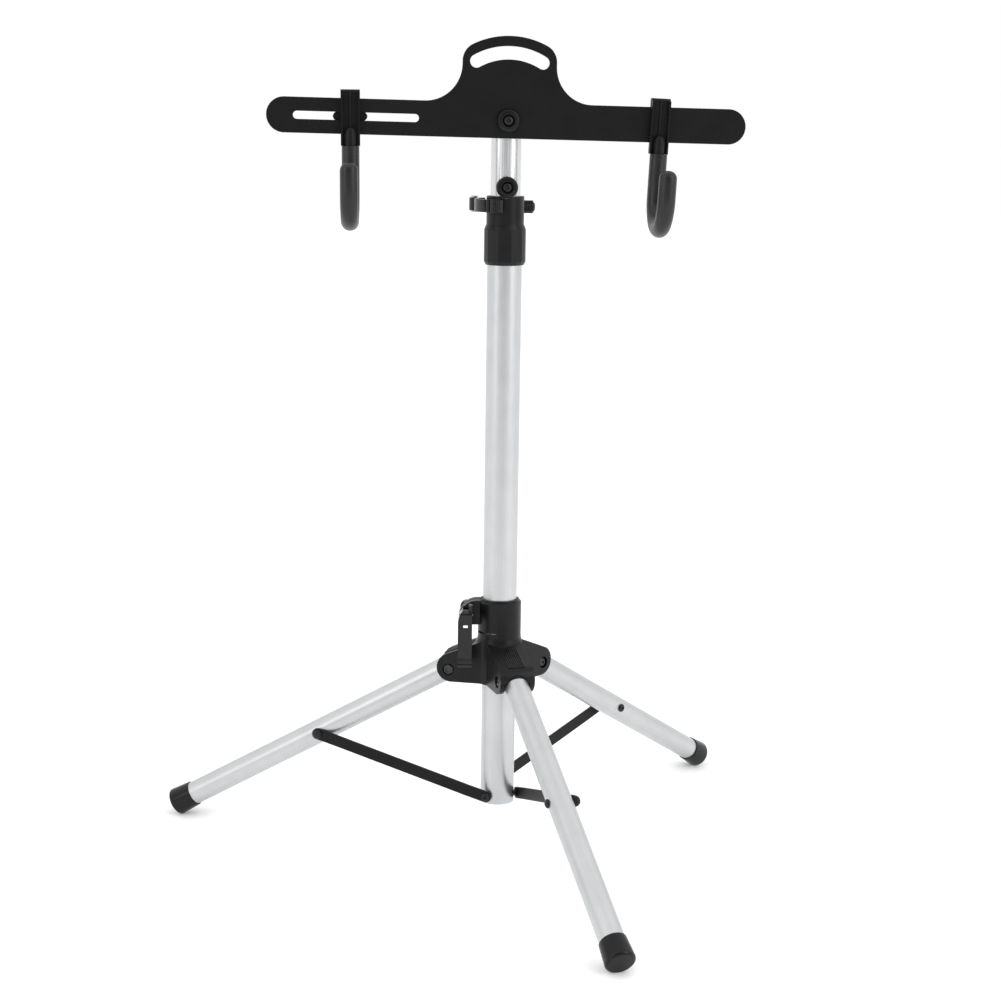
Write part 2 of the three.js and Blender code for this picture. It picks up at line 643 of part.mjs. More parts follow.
function sweep(radius, startZ, endZ, sides, steps) {
  const section = new THREE.Shape();
  for (let i = 0; i < sides; i += 1) {
    const angle = 2 * Math.PI * i / sides;
    section[i === 0 ? 'moveTo' : 'lineTo'](radius * Math.cos(angle), radius * Math.sin(angle));
  }
  section.closePath();
  const extrudePath = new HookLine(startZ, endZ);
  return new THREE.ExtrudeGeometry(section, { steps, extrudePath, bevelEnabled: false });
}

const tipCentre = hook.tip - hook.rubber;

function hookCore(radius) {
  return sweep(radius, hook.coreTop, tipCentre, pegSides, 16);
}

function hookSleeve() {
  const { rubber, tip, tipRound } = hook;
  const corner = [0, 30, 60, 90].map((angle) => [
    rubber - tipRound * (1 - Math.cos(rad(angle))), tip - tipRound * (1 - Math.sin(rad(angle)))]);
  const tipEnd = turned([[0, tipCentre], [rubber, tipCentre], ...corner, [0, tip]])
    .translate(0, hook.y - 2 * hook.bend, 0);
  const outside = join(sweep(rubber, hook.start, tipCentre, 12, 16), tipEnd);
  const boreEnd = rod(hook.core + fit, tipCentre - 1, tipCentre + fit, pegSides)
    .translate(0, hook.y - 2 * hook.bend, 0);
  return cut(outside, hookCore(hook.core + fit), boreEnd);
}

function hookBracket() {
  const { half, top, foot: low, sheet, lip, lipFront, rib } = bracket;
  const back = plateFront - fit;
  const front = back - sheet;
  const wrapBack = plate.back + fit;
  const side = new THREE.Shape();
  side.moveTo(back, low);
  side.lineTo(back, top - sheet - 2);
  side.quadraticCurveTo(back, top - sheet, back + 2, top - sheet);
  side.lineTo(wrapBack, top - sheet);
  side.lineTo(wrapBack, 9);
  side.lineTo(wrapBack + sheet, 9);
  side.lineTo(wrapBack + sheet, top - 3);
  side.quadraticCurveTo(wrapBack + sheet, top, wrapBack + sheet - 3, top);
  side.lineTo(front + 3, top);
  side.quadraticCurveTo(front, top, front, top - 3);
  side.lineTo(front, low);
  side.closePath();
  const sheetBody = new THREE.ExtrudeGeometry(side, { depth: 2 * half, bevelEnabled: false })
    .rotateY(Math.PI / 2).rotateX(Math.PI / 2).translate(-half, 0, 0);
  const lips = [-1, 1].map((hand) => block(Math.min(hand * half, hand * (half - lip)),
    Math.max(hand * half, hand * (half - lip)), lipFront, front + 1, low, top - 4));
  const ribTop = top - 8;
  const ribBody = join(rod(rib, low, ribTop, smallSides).translate(0, hook.y, 0),
    new THREE.SphereGeometry(rib, smallSides, 6).rotateX(Math.PI / 2).translate(0, hook.y, ribTop),
    block(-rib, rib, hook.y, front + 1, low, ribTop));
  return cut(join(sheetBody, ...lips, ribBody),
    rod(hook.core + fit, low - 5, hook.coreTop + fit, pegSides).translate(0, hook.y, 0),
    alongY(rod(boltRadius + fit, hook.y, 0)));
}

const hooks = { left: new THREE.Group(), right: new THREE.Group() };
for (const [sideName, group] of Object.entries(hooks)) {
  group.position.x = hookX[sideName];
  group.rotation.y = rad(hookLean);
  head.add(group);
  piece(group, `${sideName}_hook_bracket`, hookBracket(), 'paint');
  piece(group, `${sideName}_hook_rod`, hookCore(hook.core), 'zinc');
  piece(group, `${sideName}_hook_sleeve`, hookSleeve(), 'rubber');
}

const studFront = hook.y + fit;
const nutSeat = plate.back + fit;
piece(hooks.right, 'right_hook_screw',
  alongY(turned([[0, studFront], [boltRadius, studFront], [boltRadius, nutSeat], [6, nutSeat],
    [6, nutSeat + 1.5], [4.6, nutSeat + 3.4], [2.5, nutSeat + 4.4], [0, nutSeat + 4.4]])), 'blackZinc');
piece(hooks.left, 'left_hook_stud', alongY(rod(boltRadius, studFront, knob.front + 9)), 'zinc');

function hookKnob() {
  const outline = new THREE.Shape();
  const points = 36;
  for (let i = 0; i < points; i += 1) {
    const angle = 2 * Math.PI * i / points;
    const r = knob.radius + knob.lobe * Math.cos(knob.lobes * angle);
    outline[i === 0 ? 'moveTo' : 'lineTo'](r * Math.cos(angle), r * Math.sin(angle));
  }
  outline.closePath();
  const back = knob.front + knob.depth;
  const grip = layer(outline, knob.front + 1, back - 1.5);
  const bossFront = plate.back + fit;
  const core = turned([[0, bossFront], [knob.boss, bossFront], [knob.boss, knob.front],
    [knob.radius - 3, knob.front], [knob.radius - 3, back - 2], [knob.radius - 4.5, back], [0, back]],
  20);
  return cut(alongY(join(grip, core)),
    alongY(rod(boltRadius + fit, bossFront - 1, knob.front + 9 + fit)));
}
piece(hooks.left, 'hook_knob', hookKnob(), 'mould');

// ---------------------------------------------------------------- placing
// The origin goes to the middle of the outline seen from above, on the floor.
stand.updateMatrixWorld(true);
const outlineBox = new THREE.Box3().setFromObject(stand, true);
const middle = outlineBox.getCenter(new THREE.Vector3());
stand.position.set(-middle.x, -middle.y, -outlineBox.min.z);

export default stand;
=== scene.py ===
import math

import bmesh
import bpy
from mathutils import Matrix, Vector


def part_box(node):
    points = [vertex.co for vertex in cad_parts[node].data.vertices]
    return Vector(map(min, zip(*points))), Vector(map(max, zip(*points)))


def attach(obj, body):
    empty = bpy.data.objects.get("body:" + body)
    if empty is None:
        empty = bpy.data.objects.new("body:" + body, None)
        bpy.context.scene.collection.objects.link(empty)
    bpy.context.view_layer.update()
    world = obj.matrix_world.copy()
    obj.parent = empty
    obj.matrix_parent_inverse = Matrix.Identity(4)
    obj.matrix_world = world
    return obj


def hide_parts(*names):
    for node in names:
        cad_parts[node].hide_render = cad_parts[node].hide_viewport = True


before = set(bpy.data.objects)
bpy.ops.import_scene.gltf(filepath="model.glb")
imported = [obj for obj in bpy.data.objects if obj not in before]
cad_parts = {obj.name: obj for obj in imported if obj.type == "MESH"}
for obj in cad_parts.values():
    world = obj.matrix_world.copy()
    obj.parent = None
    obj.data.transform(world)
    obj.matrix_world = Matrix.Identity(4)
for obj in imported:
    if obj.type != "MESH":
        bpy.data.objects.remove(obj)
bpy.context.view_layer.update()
scene = bpy.context.scene
print("frame loaded:", len(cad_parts), "nodes")

# Pieces are drawn in millimetres about their own part of the stand, and finishPiece() brings them to metres.
toMetres = Matrix.Scale(0.001, 4)
tubeLow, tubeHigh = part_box("main_tube")
columnAxis = Vector(((tubeLow.x + tubeHigh.x) / 2, (tubeLow.y + tubeHigh.y) / 2, 0))

standSet = {
    "baseTurn": -5.2,        # base against the plate, degrees
    "legAzimuths": (48.4, 168.4, 288.4),
    "legSlope": 29.83,
    "legPivotR": 50.0,
    "legPivotZ": 188.6,
    "plateHeight": 751.4,
    "plateTilt": 0.8,
}


def shift(x, y, z):
    return Matrix.Translation((x, y, z))


def turn(degrees, axis):
    return Matrix.Rotation(math.radians(degrees), 4, axis)


mastPlace = Matrix.Translation(columnAxis) @ toMetres
basePlace = mastPlace @ turn(standSet["baseTurn"], "Z")
headPlace = mastPlace @ shift(0, 0, standSet["plateHeight"]) @ turn(standSet["plateTilt"], "Y")
alongX = turn(90, "Y")
alongY = turn(-90, "X")


# ---- shaping helpers
def tidyMesh(bm):
    bmesh.ops.remove_doubles(bm, verts=bm.verts, dist=0.004)
    bmesh.ops.dissolve_degenerate(bm, edges=bm.edges, dist=0.004)
    bmesh.ops.recalc_face_normals(bm, faces=bm.faces)
    return bm


def moved(bm, matrix):
    bmesh.ops.transform(bm, matrix=matrix, verts=bm.verts)
    return bm


def spunProfile(corners, steps=64, closed=False):
    bm = bmesh.new()
    points = [bm.verts.new((radius, 0, height)) for radius, height in corners]
    links = [bm.edges.new(pair) for pair in zip(points, points[1:])]
    if closed:
        links.append(bm.edges.new((points[-1], points[0])))
    bmesh.ops.spin(bm, geom=points + links, cent=(0, 0, 0), axis=(0, 0, 1), angle=2 * math.pi,
                   steps=steps, use_merge=True)
    return tidyMesh(bm)


def drawnOutline(start, moves):
    # an outline in x and z: ("line", x, z) or ("arc", centre x, centre z, degrees, steps)
    bm = bmesh.new()
    first = tip = bm.verts.new((start[0], 0, start[1]))
    for move in moves:
        if move[0] == "line":
            corner = bm.verts.new((move[1], 0, move[2]))
            bm.edges.new((tip, corner))
            tip = corner
        else:
            done = bmesh.ops.spin(bm, geom=[tip], cent=(move[1], 0, move[2]), axis=(0, -1, 0),
                                  angle=math.radians(move[3]), steps=move[4], use_merge=False)
            tip = [part for part in done["geom_last"] if isinstance(part, bmesh.types.BMVert)][0]
    if (tip.co - first.co).length > 0.01:
        bm.edges.new((tip, first))
    bmesh.ops.remove_doubles(bm, verts=bm.verts, dist=0.01)
    bmesh.ops.contextual_create(bm, geom=bm.edges[:])
    return bm


def thickened(bm, fromY, toY):
    bmesh.ops.translate(bm, vec=(0, fromY, 0), verts=bm.verts)
    grown = bmesh.ops.extrude_face_region(bm, geom=bm.faces[:])
    tops = [part for part in grown["geom"] if isinstance(part, bmesh.types.BMVert)]
    bmesh.ops.translate(bm, vec=(0, toY - fromY, 0), verts=tops)
    return tidyMesh(bm)


def slabOf(start, moves, fromY, toY):
    return thickened(drawnOutline(start, moves), fromY, toY)


def layerOf(start, moves, fromZ, toZ):
    # the outline's second number is then y, and the thickness runs in z
    return moved(thickened(drawnOutline(start, moves), -toZ, -fromZ), turn(-90, "X"))


def blockOf(x0, x1, y0, y1, z0, z1):
    bm = bmesh.new()
    bmesh.ops.create_cube(bm, size=1)
    return moved(bm, shift((x0 + x1) / 2, (y0 + y1) / 2, (z0 + z1) / 2)
                 @ Matrix.Diagonal((x1 - x0, y1 - y0, z1 - z0, 1)))


def rodOf(radius, fromZ, toZ, steps=48):
    return spunProfile([(0, fromZ), (radius, fromZ), (radius, toZ), (0, toZ)], steps)


def softened(bm, offset, segments, chosen):
    edges = [edge for edge in bm.edges if len(edge.link_faces) == 2 and chosen(edge)]
    bmesh.ops.bevel(bm, geom=edges, offset=offset, segments=segments, profile=0.5, affect="EDGES",
                    material=-1, clamp_overlap=True)
    return bm


def looseObject(bm, name):
    mesh = bpy.data.meshes.new(name)
    bm.to_mesh(mesh)
    bm.free()
    thing = bpy.data.objects.new(name, mesh)
    scene.collection.objects.link(thing)
    return thing


def combined(body, operation, *tools):
    for tool in tools:
        bodyObject = looseObject(tidyMesh(body), "bodyWork")
        toolObject = looseObject(tidyMesh(tool), "toolWork")
        step = bodyObject.modifiers.new("combine", "BOOLEAN")
        step.operation = operation
        step.solver = "EXACT"
        step.object = toolObject
        body = bmesh.new()
        body.from_object(bodyObject, bpy.context.evaluated_depsgraph_get())
        for thing in (bodyObject, toolObject):
            mesh = thing.data
            bpy.data.objects.remove(thing)
            bpy.data.meshes.remove(mesh)
    return body


def joined(body, *tools):
    return combined(body, "UNION", *tools)


def cutBy(body, *tools):
    return combined(body, "DIFFERENCE", *tools)


def copyOf(bm, matrix):
    return moved(bm.copy(), matrix)


def finishPiece(name, bm, place, body, slotName, finish, *nodes, edge=0.0, edgeSteps=2, sharp=32):
    tidyMesh(bm)
    moved(bm, place)
    piece = looseObject(bm, name)
    piece.data.shade_smooth()
    piece.data.set_sharp_from_angle(angle=math.radians(sharp))
    piece.data.materials.append(finish)
    if edge:
        softEdge = piece.modifiers.new("softEdge", "BEVEL")
        softEdge.width = edge / 1000
        softEdge.segments = edgeSteps
        softEdge.limit_method = "ANGLE"
        softEdge.angle_limit = math.radians(32)
        softEdge.harden_normals = True
        softEdge.miter_outer = "MITER_ARC"
    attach(piece, body)
    if nodes:
        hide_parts(*nodes)


# ---- finishes
def nodeFinish(name, **values):
    finish = bpy.data.materials.new(name)
    finish.use_nodes = True
    tree = finish.node_tree
    shader = tree.nodes["Principled BSDF"]
    for socket, value in values.items():
        shader.inputs[socket.replace("_", " ")].default_value = value
    return finish, tree, shader


def objectPattern(tree, scale=(1, 1, 1), turned=None, centre=(0, 0, 0)):
    where = tree.nodes.new("ShaderNodeTexCoord")
    mapping = tree.nodes.new("ShaderNodeMapping")
    mapping.vector_type = "TEXTURE"        # brings a point into the piece's own axes
    mapping.inputs["Location"].default_value = centre
    if turned:
        mapping.inputs["Rotation"].default_value = turned
    tree.links.new(where.outputs["Object"], mapping.inputs["Vector"])
    stretch = tree.nodes.new("ShaderNodeMapping")
    stretch.inputs["Scale"].default_value = scale
    tree.links.new(mapping.outputs["Vector"], stretch.inputs["Vector"])
    return stretch.outputs["Vector"]


def noiseField(tree, vector, scale, detail=3.0, roughness=0.55):
    noise = tree.nodes.new("ShaderNodeTexNoise")
    noise.inputs["Scale"].default_value = scale
    noise.inputs["Detail"].default_value = detail
    noise.inputs["Roughness"].default_value = roughness
    tree.links.new(vector, noise.inputs["Vector"])
    return noise.outputs["Fac"]


def spread(tree, source, low, high, fromLow=0.3, fromHigh=0.7):
    remap = tree.nodes.new("ShaderNodeMapRange")
    remap.inputs["From Min"].default_value = fromLow
    remap.inputs["From Max"].default_value = fromHigh
    remap.inputs["To Min"].default_value = low
    remap.inputs["To Max"].default_value = high
    tree.links.new(source, remap.inputs["Value"])
    return remap.outputs["Result"]


def colourBetween(tree, source, dark, light):
    ramp = tree.nodes.new("ShaderNodeValToRGB")
    ramp.color_ramp.elements[0].position = 0.3
    ramp.color_ramp.elements[0].color = (*dark, 1)
    ramp.color_ramp.elements[1].position = 0.7
    ramp.color_ramp.elements[1].color = (*light, 1)
    tree.links.new(source, ramp.inputs["Fac"])
    return ramp.outputs["Color"]


def bumpFrom(tree, source, distance, strength, under=None):
    bump = tree.nodes.new("ShaderNodeBump")
    bump.inputs["Distance"].default_value = distance
    bump.inputs["Strength"].default_value = strength
    tree.links.new(source, bump.inputs["Height"])
    if under:
        tree.links.new(under, bump.inputs["Normal"])
    return bump.outputs["Normal"]


anodisedSet = {
    "dark": (0.50, 0.51, 0.52),
    "light": (0.60, 0.61, 0.62),
    "roughness": (0.30, 0.40),
    "metallic": 0.88,
    "streakScale": 1500,
    "streakStretch": 0.012,
    "mottleScale": 46,
}


def anodised(name, turned=None, centre=(0, 0, 0), values=anodisedSet):
    finish, tree, shader = nodeFinish(name, Metallic=values["metallic"])
    streaks = objectPattern(tree, (1, 1, values["streakStretch"]), turned, centre)
    drawn = noiseField(tree, streaks, values["streakScale"], 4)
    mottle = noiseField(tree, objectPattern(tree), values["mottleScale"], 5)
    blend = tree.nodes.new("ShaderNodeMix")
    blend.inputs["Factor"].default_value = 0.4
    tree.links.new(drawn, blend.inputs["A"])
    tree.links.new(mottle, blend.inputs["B"])
    tree.links.new(colourBetween(tree, blend.outputs["Result"], values["dark"], values["light"]),
                   shader.inputs["Base Color"])
    tree.links.new(spread(tree, drawn, *values["roughness"]), shader.inputs["Roughness"])
    tree.links.new(bumpFrom(tree, drawn, 0.00004, 0.25), shader.inputs["Normal"])
    return finish


mouldSet = {
    "dark": (0.0045, 0.0046, 0.0049),
    "light": (0.0080, 0.0082, 0.0087),
    "roughness": (0.30, 0.40),
    "grainScale": 2600,
    "grainDepth": 0.00005,
    "flowScale": 60,
}


def moulded(name, values=mouldSet, specular=0.22):
    finish, tree, shader = nodeFinish(name, Specular_IOR_Level=specular)
    place = objectPattern(tree)
    grain = noiseField(tree, place, values["grainScale"], 3, 0.6)
    flow = noiseField(tree, place, values["flowScale"], 4)
    tree.links.new(colourBetween(tree, flow, values["dark"], values["light"]), shader.inputs["Base Color"])
    tree.links.new(spread(tree, grain, *values["roughness"]), shader.inputs["Roughness"])
    tree.links.new(bumpFrom(tree, grain, values["grainDepth"], 0.35), shader.inputs["Normal"])
    return finish


coatSet = {
    "dark": (0.005, 0.005, 0.0052),
    "light": (0.008, 0.008, 0.0084),
    "roughness": (0.34, 0.46),
    "grainScale": 1300,
    "grainDepth": 0.00007,
    "flowScale": 35,
}
rubberSet = {
    "dark": (0.0065, 0.0065, 0.0069),
    "light": (0.0115, 0.0115, 0.0122),
    "roughness": (0.30, 0.42),
    "grainScale": 1700,
    "grainDepth": 0.00006,
    "flowScale": 70,
}
footSet = {
    "dark": (0.0045, 0.0045, 0.0048),
    "light": (0.0080, 0.0080, 0.0085),
    "roughness": (0.17, 0.26),
    "grainScale": 900,
    "grainDepth": 0.00005,
    "flowScale": 120,
}
zincSet = {
    "dark": (0.42, 0.43, 0.44),
    "light": (0.6, 0.61, 0.62),
    "roughness": (0.24, 0.4),
    "grainScale": 1400,
}


def plated(name, dark, light, roughness, scale):
    finish, tree, shader = nodeFinish(name, Metallic=0.95)
    place = objectPattern(tree)
    cloud = noiseField(tree, place, scale, 5)
    tree.links.new(colourBetween(tree, cloud, dark, light), shader.inputs["Base Color"])
    tree.links.new(spread(tree, cloud, *roughness), shader.inputs["Roughness"])
    tree.links.new(bumpFrom(tree, cloud, 0.00003, 0.3), shader.inputs["Normal"])
    return finish


mouldedNylon = moulded("mouldedNylon")
leverNylon = moulded("leverNylon", {**mouldSet, "roughness": (0.16, 0.24), "grainDepth": 0.00002}, 0.36)
powderCoat = moulded("powderCoat", coatSet, 0.18)
hookRubber = moulded("hookRubber", rubberSet, 0.4)
footRubber = moulded("footRubber", footSet, 0.24)
zincSteel = plated("zincSteel", zincSet["dark"], zincSet["light"], zincSet["roughness"],
                   zincSet["grainScale"])
# zinc plating darkened to near black: painted shade for bolts and nuts that sit deep in the hub's recesses
# and ear, whose own plating is bright
shadeDarkZinc = plated("shadeDarkZinc", (0.03, 0.03, 0.031), (0.075, 0.075, 0.077), (0.22, 0.36), 1400)
blackZinc = plated("blackZinc", (0.02, 0.02, 0.021), (0.05, 0.05, 0.052), (0.3, 0.45), 1500)
columnFinish = anodised("anodisedColumn")
brightFinish = anodised("brightMast", values={**anodisedSet, "dark": (0.62, 0.63, 0.64),
                                              "light": (0.74, 0.745, 0.75),
                                               "roughness": (0.2, 0.28), "metallic": 0.95})
print("finishes made")


# ---- fasteners
def hexSocket(across, depth, seat):
    socket = bmesh.new()
    bmesh.ops.create_cone(socket, cap_ends=True, segments=6, radius1=across / 1.732, radius2=across / 1.732,
                          depth=depth * 2)
    return moved(socket, shift(0, 0, seat))


def buttonScrew(seat, tip, headRadius, headHeight, socketAcross):
    # along +Z with its dome towards -Z
    dome = [(headRadius * math.cos(math.radians(angle)), seat - headHeight * math.sin(math.radians(angle)))
            for angle in (72, 58, 44, 30, 15)]
    screw = spunProfile([(0, seat - headHeight), *dome, (headRadius, seat), (3, seat), (3, tip),
                         (0, tip)], 40)
    return cutBy(screw, hexSocket(socketAcross, headHeight * 0.7, seat - headHeight))


def hexNut(across, seat, top):
    nut = bmesh.new()
    bmesh.ops.create_cone(nut, cap_ends=True, segments=6, radius1=across / 1.732, radius2=across / 1.732,
                          depth=top - seat)
    moved(nut, shift(0, 0, (seat + top) / 2))
    return cutBy(nut, rodOf(3, seat - 1, top + 1, 32))


def domeNut(seat, radius, height, stubEnd):
    dome = [(radius * math.cos(math.radians(angle)),
             seat + 1.6 + (height - 1.6) * math.sin(math.radians(angle)))
            for angle in (15, 32, 48, 64, 78)]
    return spunProfile([(0, stubEnd), (2.7, stubEnd), (2.7, seat), (5.2, seat), (5.2, seat + 1.6),
                        (radius, seat + 1.6), *dome, (0, seat + height)], 40)


def knurledNut(seat, length, radius, ribs=24):
    body = bmesh.new()
    bmesh.ops.create_cone(body, cap_ends=True, segments=ribs * 2, radius1=radius, radius2=radius,
                          depth=length - 2)
    moved(body, shift(0, 0, seat + (length - 2) / 2))
    body.verts.ensure_lookup_table()
    for vert in body.verts:
        around = math.degrees(math.atan2(vert.co.y, vert.co.x)) % (360 / ribs)
        if 3 < around < 360 / ribs - 3:
            vert.co.xy *= (radius - 0.55) / radius
    dome = spunProfile([(0, seat + length - 3), (radius - 1.4, seat + length - 3),
                        (radius - 1.5, seat + length - 1.6), (radius - 2.4, seat + length - 0.6),
                        (radius - 4, seat + length), (0, seat + length)], 48)
    return joined(body, dome)


def eyeBolt(eyeAt, flangeAt, flangeEnd, tip, flangeRadius, eyeRadius=5.0):
    stem = spunProfile([(0, eyeAt), (2.7, eyeAt), (2.7, flangeAt), (flangeRadius - 0.8, flangeAt),
                        (flangeRadius, flangeAt + 0.4), (flangeRadius, flangeEnd), (3, flangeEnd), (3, tip),
                        (0, tip)], 48)
    eye = moved(rodOf(eyeRadius, -2.7, 2.7, 40), shift(0, 0, eyeAt) @ alongY)
    pinHole = moved(rodOf(2.2, -5, 5, 32), shift(0, 0, eyeAt) @ alongY)
    return cutBy(joined(stem, eye), pinHole)


# ---- column and mast
mainTubeSet = {"radius": 17.5, "bore": 15.9, "foot": 45, "top": 645}
mastSet = {"radius": 15, "bore": 13.4, "foot": 175, "top": 773, "grooves": (-119.2, -104.7, -86.6, -76.2),
           "grooveRadius": 0.55, "boltHoles": (686.2, 751.4)}

braceSet = {"half": 6, "thick": 3, "inner": 17.8, "outer": 12.8, "r": 8.3, "z": 53.5,
            "bendNear": 20, "bendFar": 22}


def boltHole(fromY, toY, place):
    return moved(rodOf(3.3, fromY, toY, 32), place @ alongY)


mainTube = cutBy(
    spunProfile([(mainTubeSet["bore"], mainTubeSet["foot"]), (mainTubeSet["radius"], mainTubeSet["foot"]),
                 (mainTubeSet["radius"], mainTubeSet["top"]),
                 (mainTubeSet["bore"], mainTubeSet["top"])], 96, True),
    *[boltHole(9, mainTubeSet["radius"] + 3, turn(azimuth, "Z") @ shift(braceSet["r"], 0, braceSet["z"]))
      for azimuth in standSet["legAzimuths"]])
finishPiece("mainTube", mainTube, basePlace, "column", "anodised_tube", columnFinish, "main_tube", edge=0.4)

mastTube = spunProfile([(mastSet["bore"], mastSet["foot"]), (mastSet["radius"], mastSet["foot"]),
                        (mastSet["radius"], mastSet["top"]), (mastSet["bore"], mastSet["top"])], 96, True)
for azimuth in mastSet["grooves"]:      # fine lengthwise grooves on the front
    mastTube = cutBy(mastTube, moved(rodOf(mastSet["grooveRadius"], 100, 800, 12),
                                     turn(azimuth, "Z") @ shift(mastSet["radius"] + 0.1, 0, 0)))
mastTube = cutBy(mastTube, *[boltHole(-30, 30, shift(0, 0, height)) for height in mastSet["boltHoles"]])
finishPiece("innerTube", mastTube, mastPlace, "mast", "bright_tube", brightFinish, "inner_tube")

capSet = {"skirt": 13.1, "lip": 14.8, "seat": 773.3, "top": 776, "foot": 761, "chamfer": 0.9}
finishPiece(
    "mastCap",
    spunProfile([(0, capSet["foot"]), (capSet["skirt"], capSet["foot"]), (capSet["skirt"], capSet["seat"]),
                 (capSet["lip"], capSet["seat"]), (capSet["lip"], capSet["top"] - capSet["chamfer"]),
                 (capSet["lip"] - capSet["chamfer"], capSet["top"]), (6, capSet["top"]),
                 (5.2, capSet["top"] - 0.7),
                 (0, capSet["top"] - 0.7)], 64),
    mastPlace, "mast", "black_mould", mouldedNylon, "inner_tube_cap", edge=0.3)
print("column and mast made")

# ---- upper collar
collarSet = {
    "foot": 609, "chamfer": 3.5, "step": 644, "shoulder": 649.5, "top": 677.5, "wide": 21.1, "slim": 18.9,
    "tubeBore": 17.8, "mastBore": 15.3, "ledge": 645.3, "facets": 20,
    "boltY": 21.5, "boltZ": 666, "lugHalf": 12, "slit": 1.0, "notchZ": 686.2, "notchRadius": 11.3,
}


def upperCollarShape(c):
    sleeve = spunProfile([(c["tubeBore"], c["foot"]), (c["wide"] - c["chamfer"] / 2, c["foot"]),
                          (c["wide"], c["foot"] + c["chamfer"]), (c["wide"], c["step"]),
                          (c["tubeBore"], c["step"])], c["facets"], True)
    neck = spunProfile([(c["tubeBore"], c["step"] - 4), (c["wide"] - 0.15, c["step"] - 0.4),
                        (c["wide"] - 0.15, c["step"] + 0.6), (c["slim"], c["shoulder"]),
                        (c["slim"], c["top"] - 0.7), (c["slim"] - 0.7, c["top"]),
                        (c["mastBore"] + 0.6, c["top"]),
                        (c["mastBore"], c["top"] - 0.6), (c["mastBore"], c["ledge"]),
                        (c["tubeBore"], c["ledge"])], 80, True)
    lugs = blockOf(-c["lugHalf"], c["lugHalf"], 14.5, c["boltY"] + 6.5, c["boltZ"] - 9.5, c["boltZ"] + 9.5)
    softened(lugs, 4, 4, lambda edge: abs(edge.verts[0].co.x - edge.verts[1].co.x) > 1
             and edge.verts[0].co.y > c["boltY"])
    shape = joined(sleeve, neck, lugs)
    return cutBy(shape,
                 blockOf(-c["slit"], c["slit"], 10, c["boltY"] + 8, c["shoulder"] + 2, c["top"] + 2),
                 moved(rodOf(3.3, -20, 20), shift(0, c["boltY"], c["boltZ"]) @ alongX),
                 moved(rodOf(c["notchRadius"], -30, 0, 64),
                       turn(-standSet["baseTurn"], "Z") @ shift(0, 0, c["notchZ"]) @ alongY))


finishPiece("upperCollar", upperCollarShape(collarSet), basePlace, "column", "black_mould",
                          mouldedNylon, "upper_collar", edge=0.3, sharp=15)

clampSet = {
    "pinX": -31.5, "camX": -28.5, "camRadius": 8.2, "low": 662, "high": 674.6, "inner": 27.8, "outer": 31.2,
    "from": 152, "to": 262, "ridges": (259.5, 248, 237), "ridgeRadius": 1.9, "slotHalf": 3, "eyeRoom": 4.6,
}


def upperLeverShape(c, collar):
    def at(radius, degrees):
        return radius * math.cos(math.radians(degrees)), radius * math.sin(math.radians(degrees))
    sweepAngle = c["to"] - c["from"]
    band = layerOf(at(c["inner"], c["from"]), [
        ("line", *at(c["outer"], c["from"])), ("arc", 0, 0, sweepAngle, 36),
        ("arc", *at((c["inner"] + c["outer"]) / 2, c["to"]), 180, 8),
        ("arc", 0, 0, -sweepAngle, 36)], c["low"], c["high"])
    cam = moved(rodOf(c["camRadius"], c["low"], c["high"], 48), shift(c["camX"], collar["boltY"], 0))
    ridges = [moved(rodOf(c["ridgeRadius"], c["low"] + 0.3, c["high"] - 0.3, 20), turn(azimuth, "Z")
                    @ shift(c["outer"], 0, 0)) for azimuth in c["ridges"]]
    slotLow, slotHigh = collar["boltZ"] - c["slotHalf"], collar["boltZ"] + c["slotHalf"]
    fork = cutBy(moved(rodOf(13, slotLow, slotHigh, 40), shift(c["pinX"], collar["boltY"], 0)),
                 blockOf(-60, c["pinX"], -20, collar["boltY"], slotLow - 2, slotHigh + 2),
                 blockOf(-60, 0, -20, collar["boltY"] - 8, slotLow - 2, slotHigh + 2))
    fork = joined(fork, moved(rodOf(c["eyeRoom"], slotLow, slotHigh, 40),
                              shift(c["pinX"], collar["boltY"], 0)))
    pinHole = moved(rodOf(2.1, c["low"] - 2, c["high"] + 2, 32), shift(c["pinX"], collar["boltY"], 0))
    return cutBy(joined(band, cam, *ridges), fork, pinHole)


finishPiece("upperLever", upperLeverShape(clampSet, collarSet), basePlace, "upper_lever",
                         "black_mould", leverNylon, "upper_clamp_lever", edge=0.6, edgeSteps=3)
finishPiece(
    "upperLeverPin",
    moved(spunProfile([(0, -8.2), (3.0, -8.2), (3.6, -7.7), (3.6, -6.7), (2, -6.7), (2, 6.7), (3.6, 6.7),
                       (3.6, 7.7), (3.0, 8.2), (0, 8.2)], 32),
          shift(clampSet["pinX"], collarSet["boltY"], (clampSet["low"] + clampSet["high"]) / 2)),
    basePlace, "upper_lever", "bright_steel", zincSteel, "upper_lever_pin")
finishPiece(
    "upperClampBolt",
    moved(eyeBolt(clampSet["pinX"], clampSet["camX"] + clampSet["camRadius"] + 0.3, -12.3, 24, 7, 4.3),
          shift(0, collarSet["boltY"], collarSet["boltZ"]) @ alongX @ turn(90, "Z")),
    basePlace, "column", "bright_steel", zincSteel, "upper_clamp_bolt", edge=0.2)
finishPiece(
    "upperClampNut",
    moved(knurledNut(12.3, 17.6, 6.5), shift(0, collarSet["boltY"], collarSet["boltZ"]) @ alongX),
    basePlace, "upper_nut", "black_steel", blackZinc, "upper_clamp_nut", edge=0.15)
print("upper clamp made")

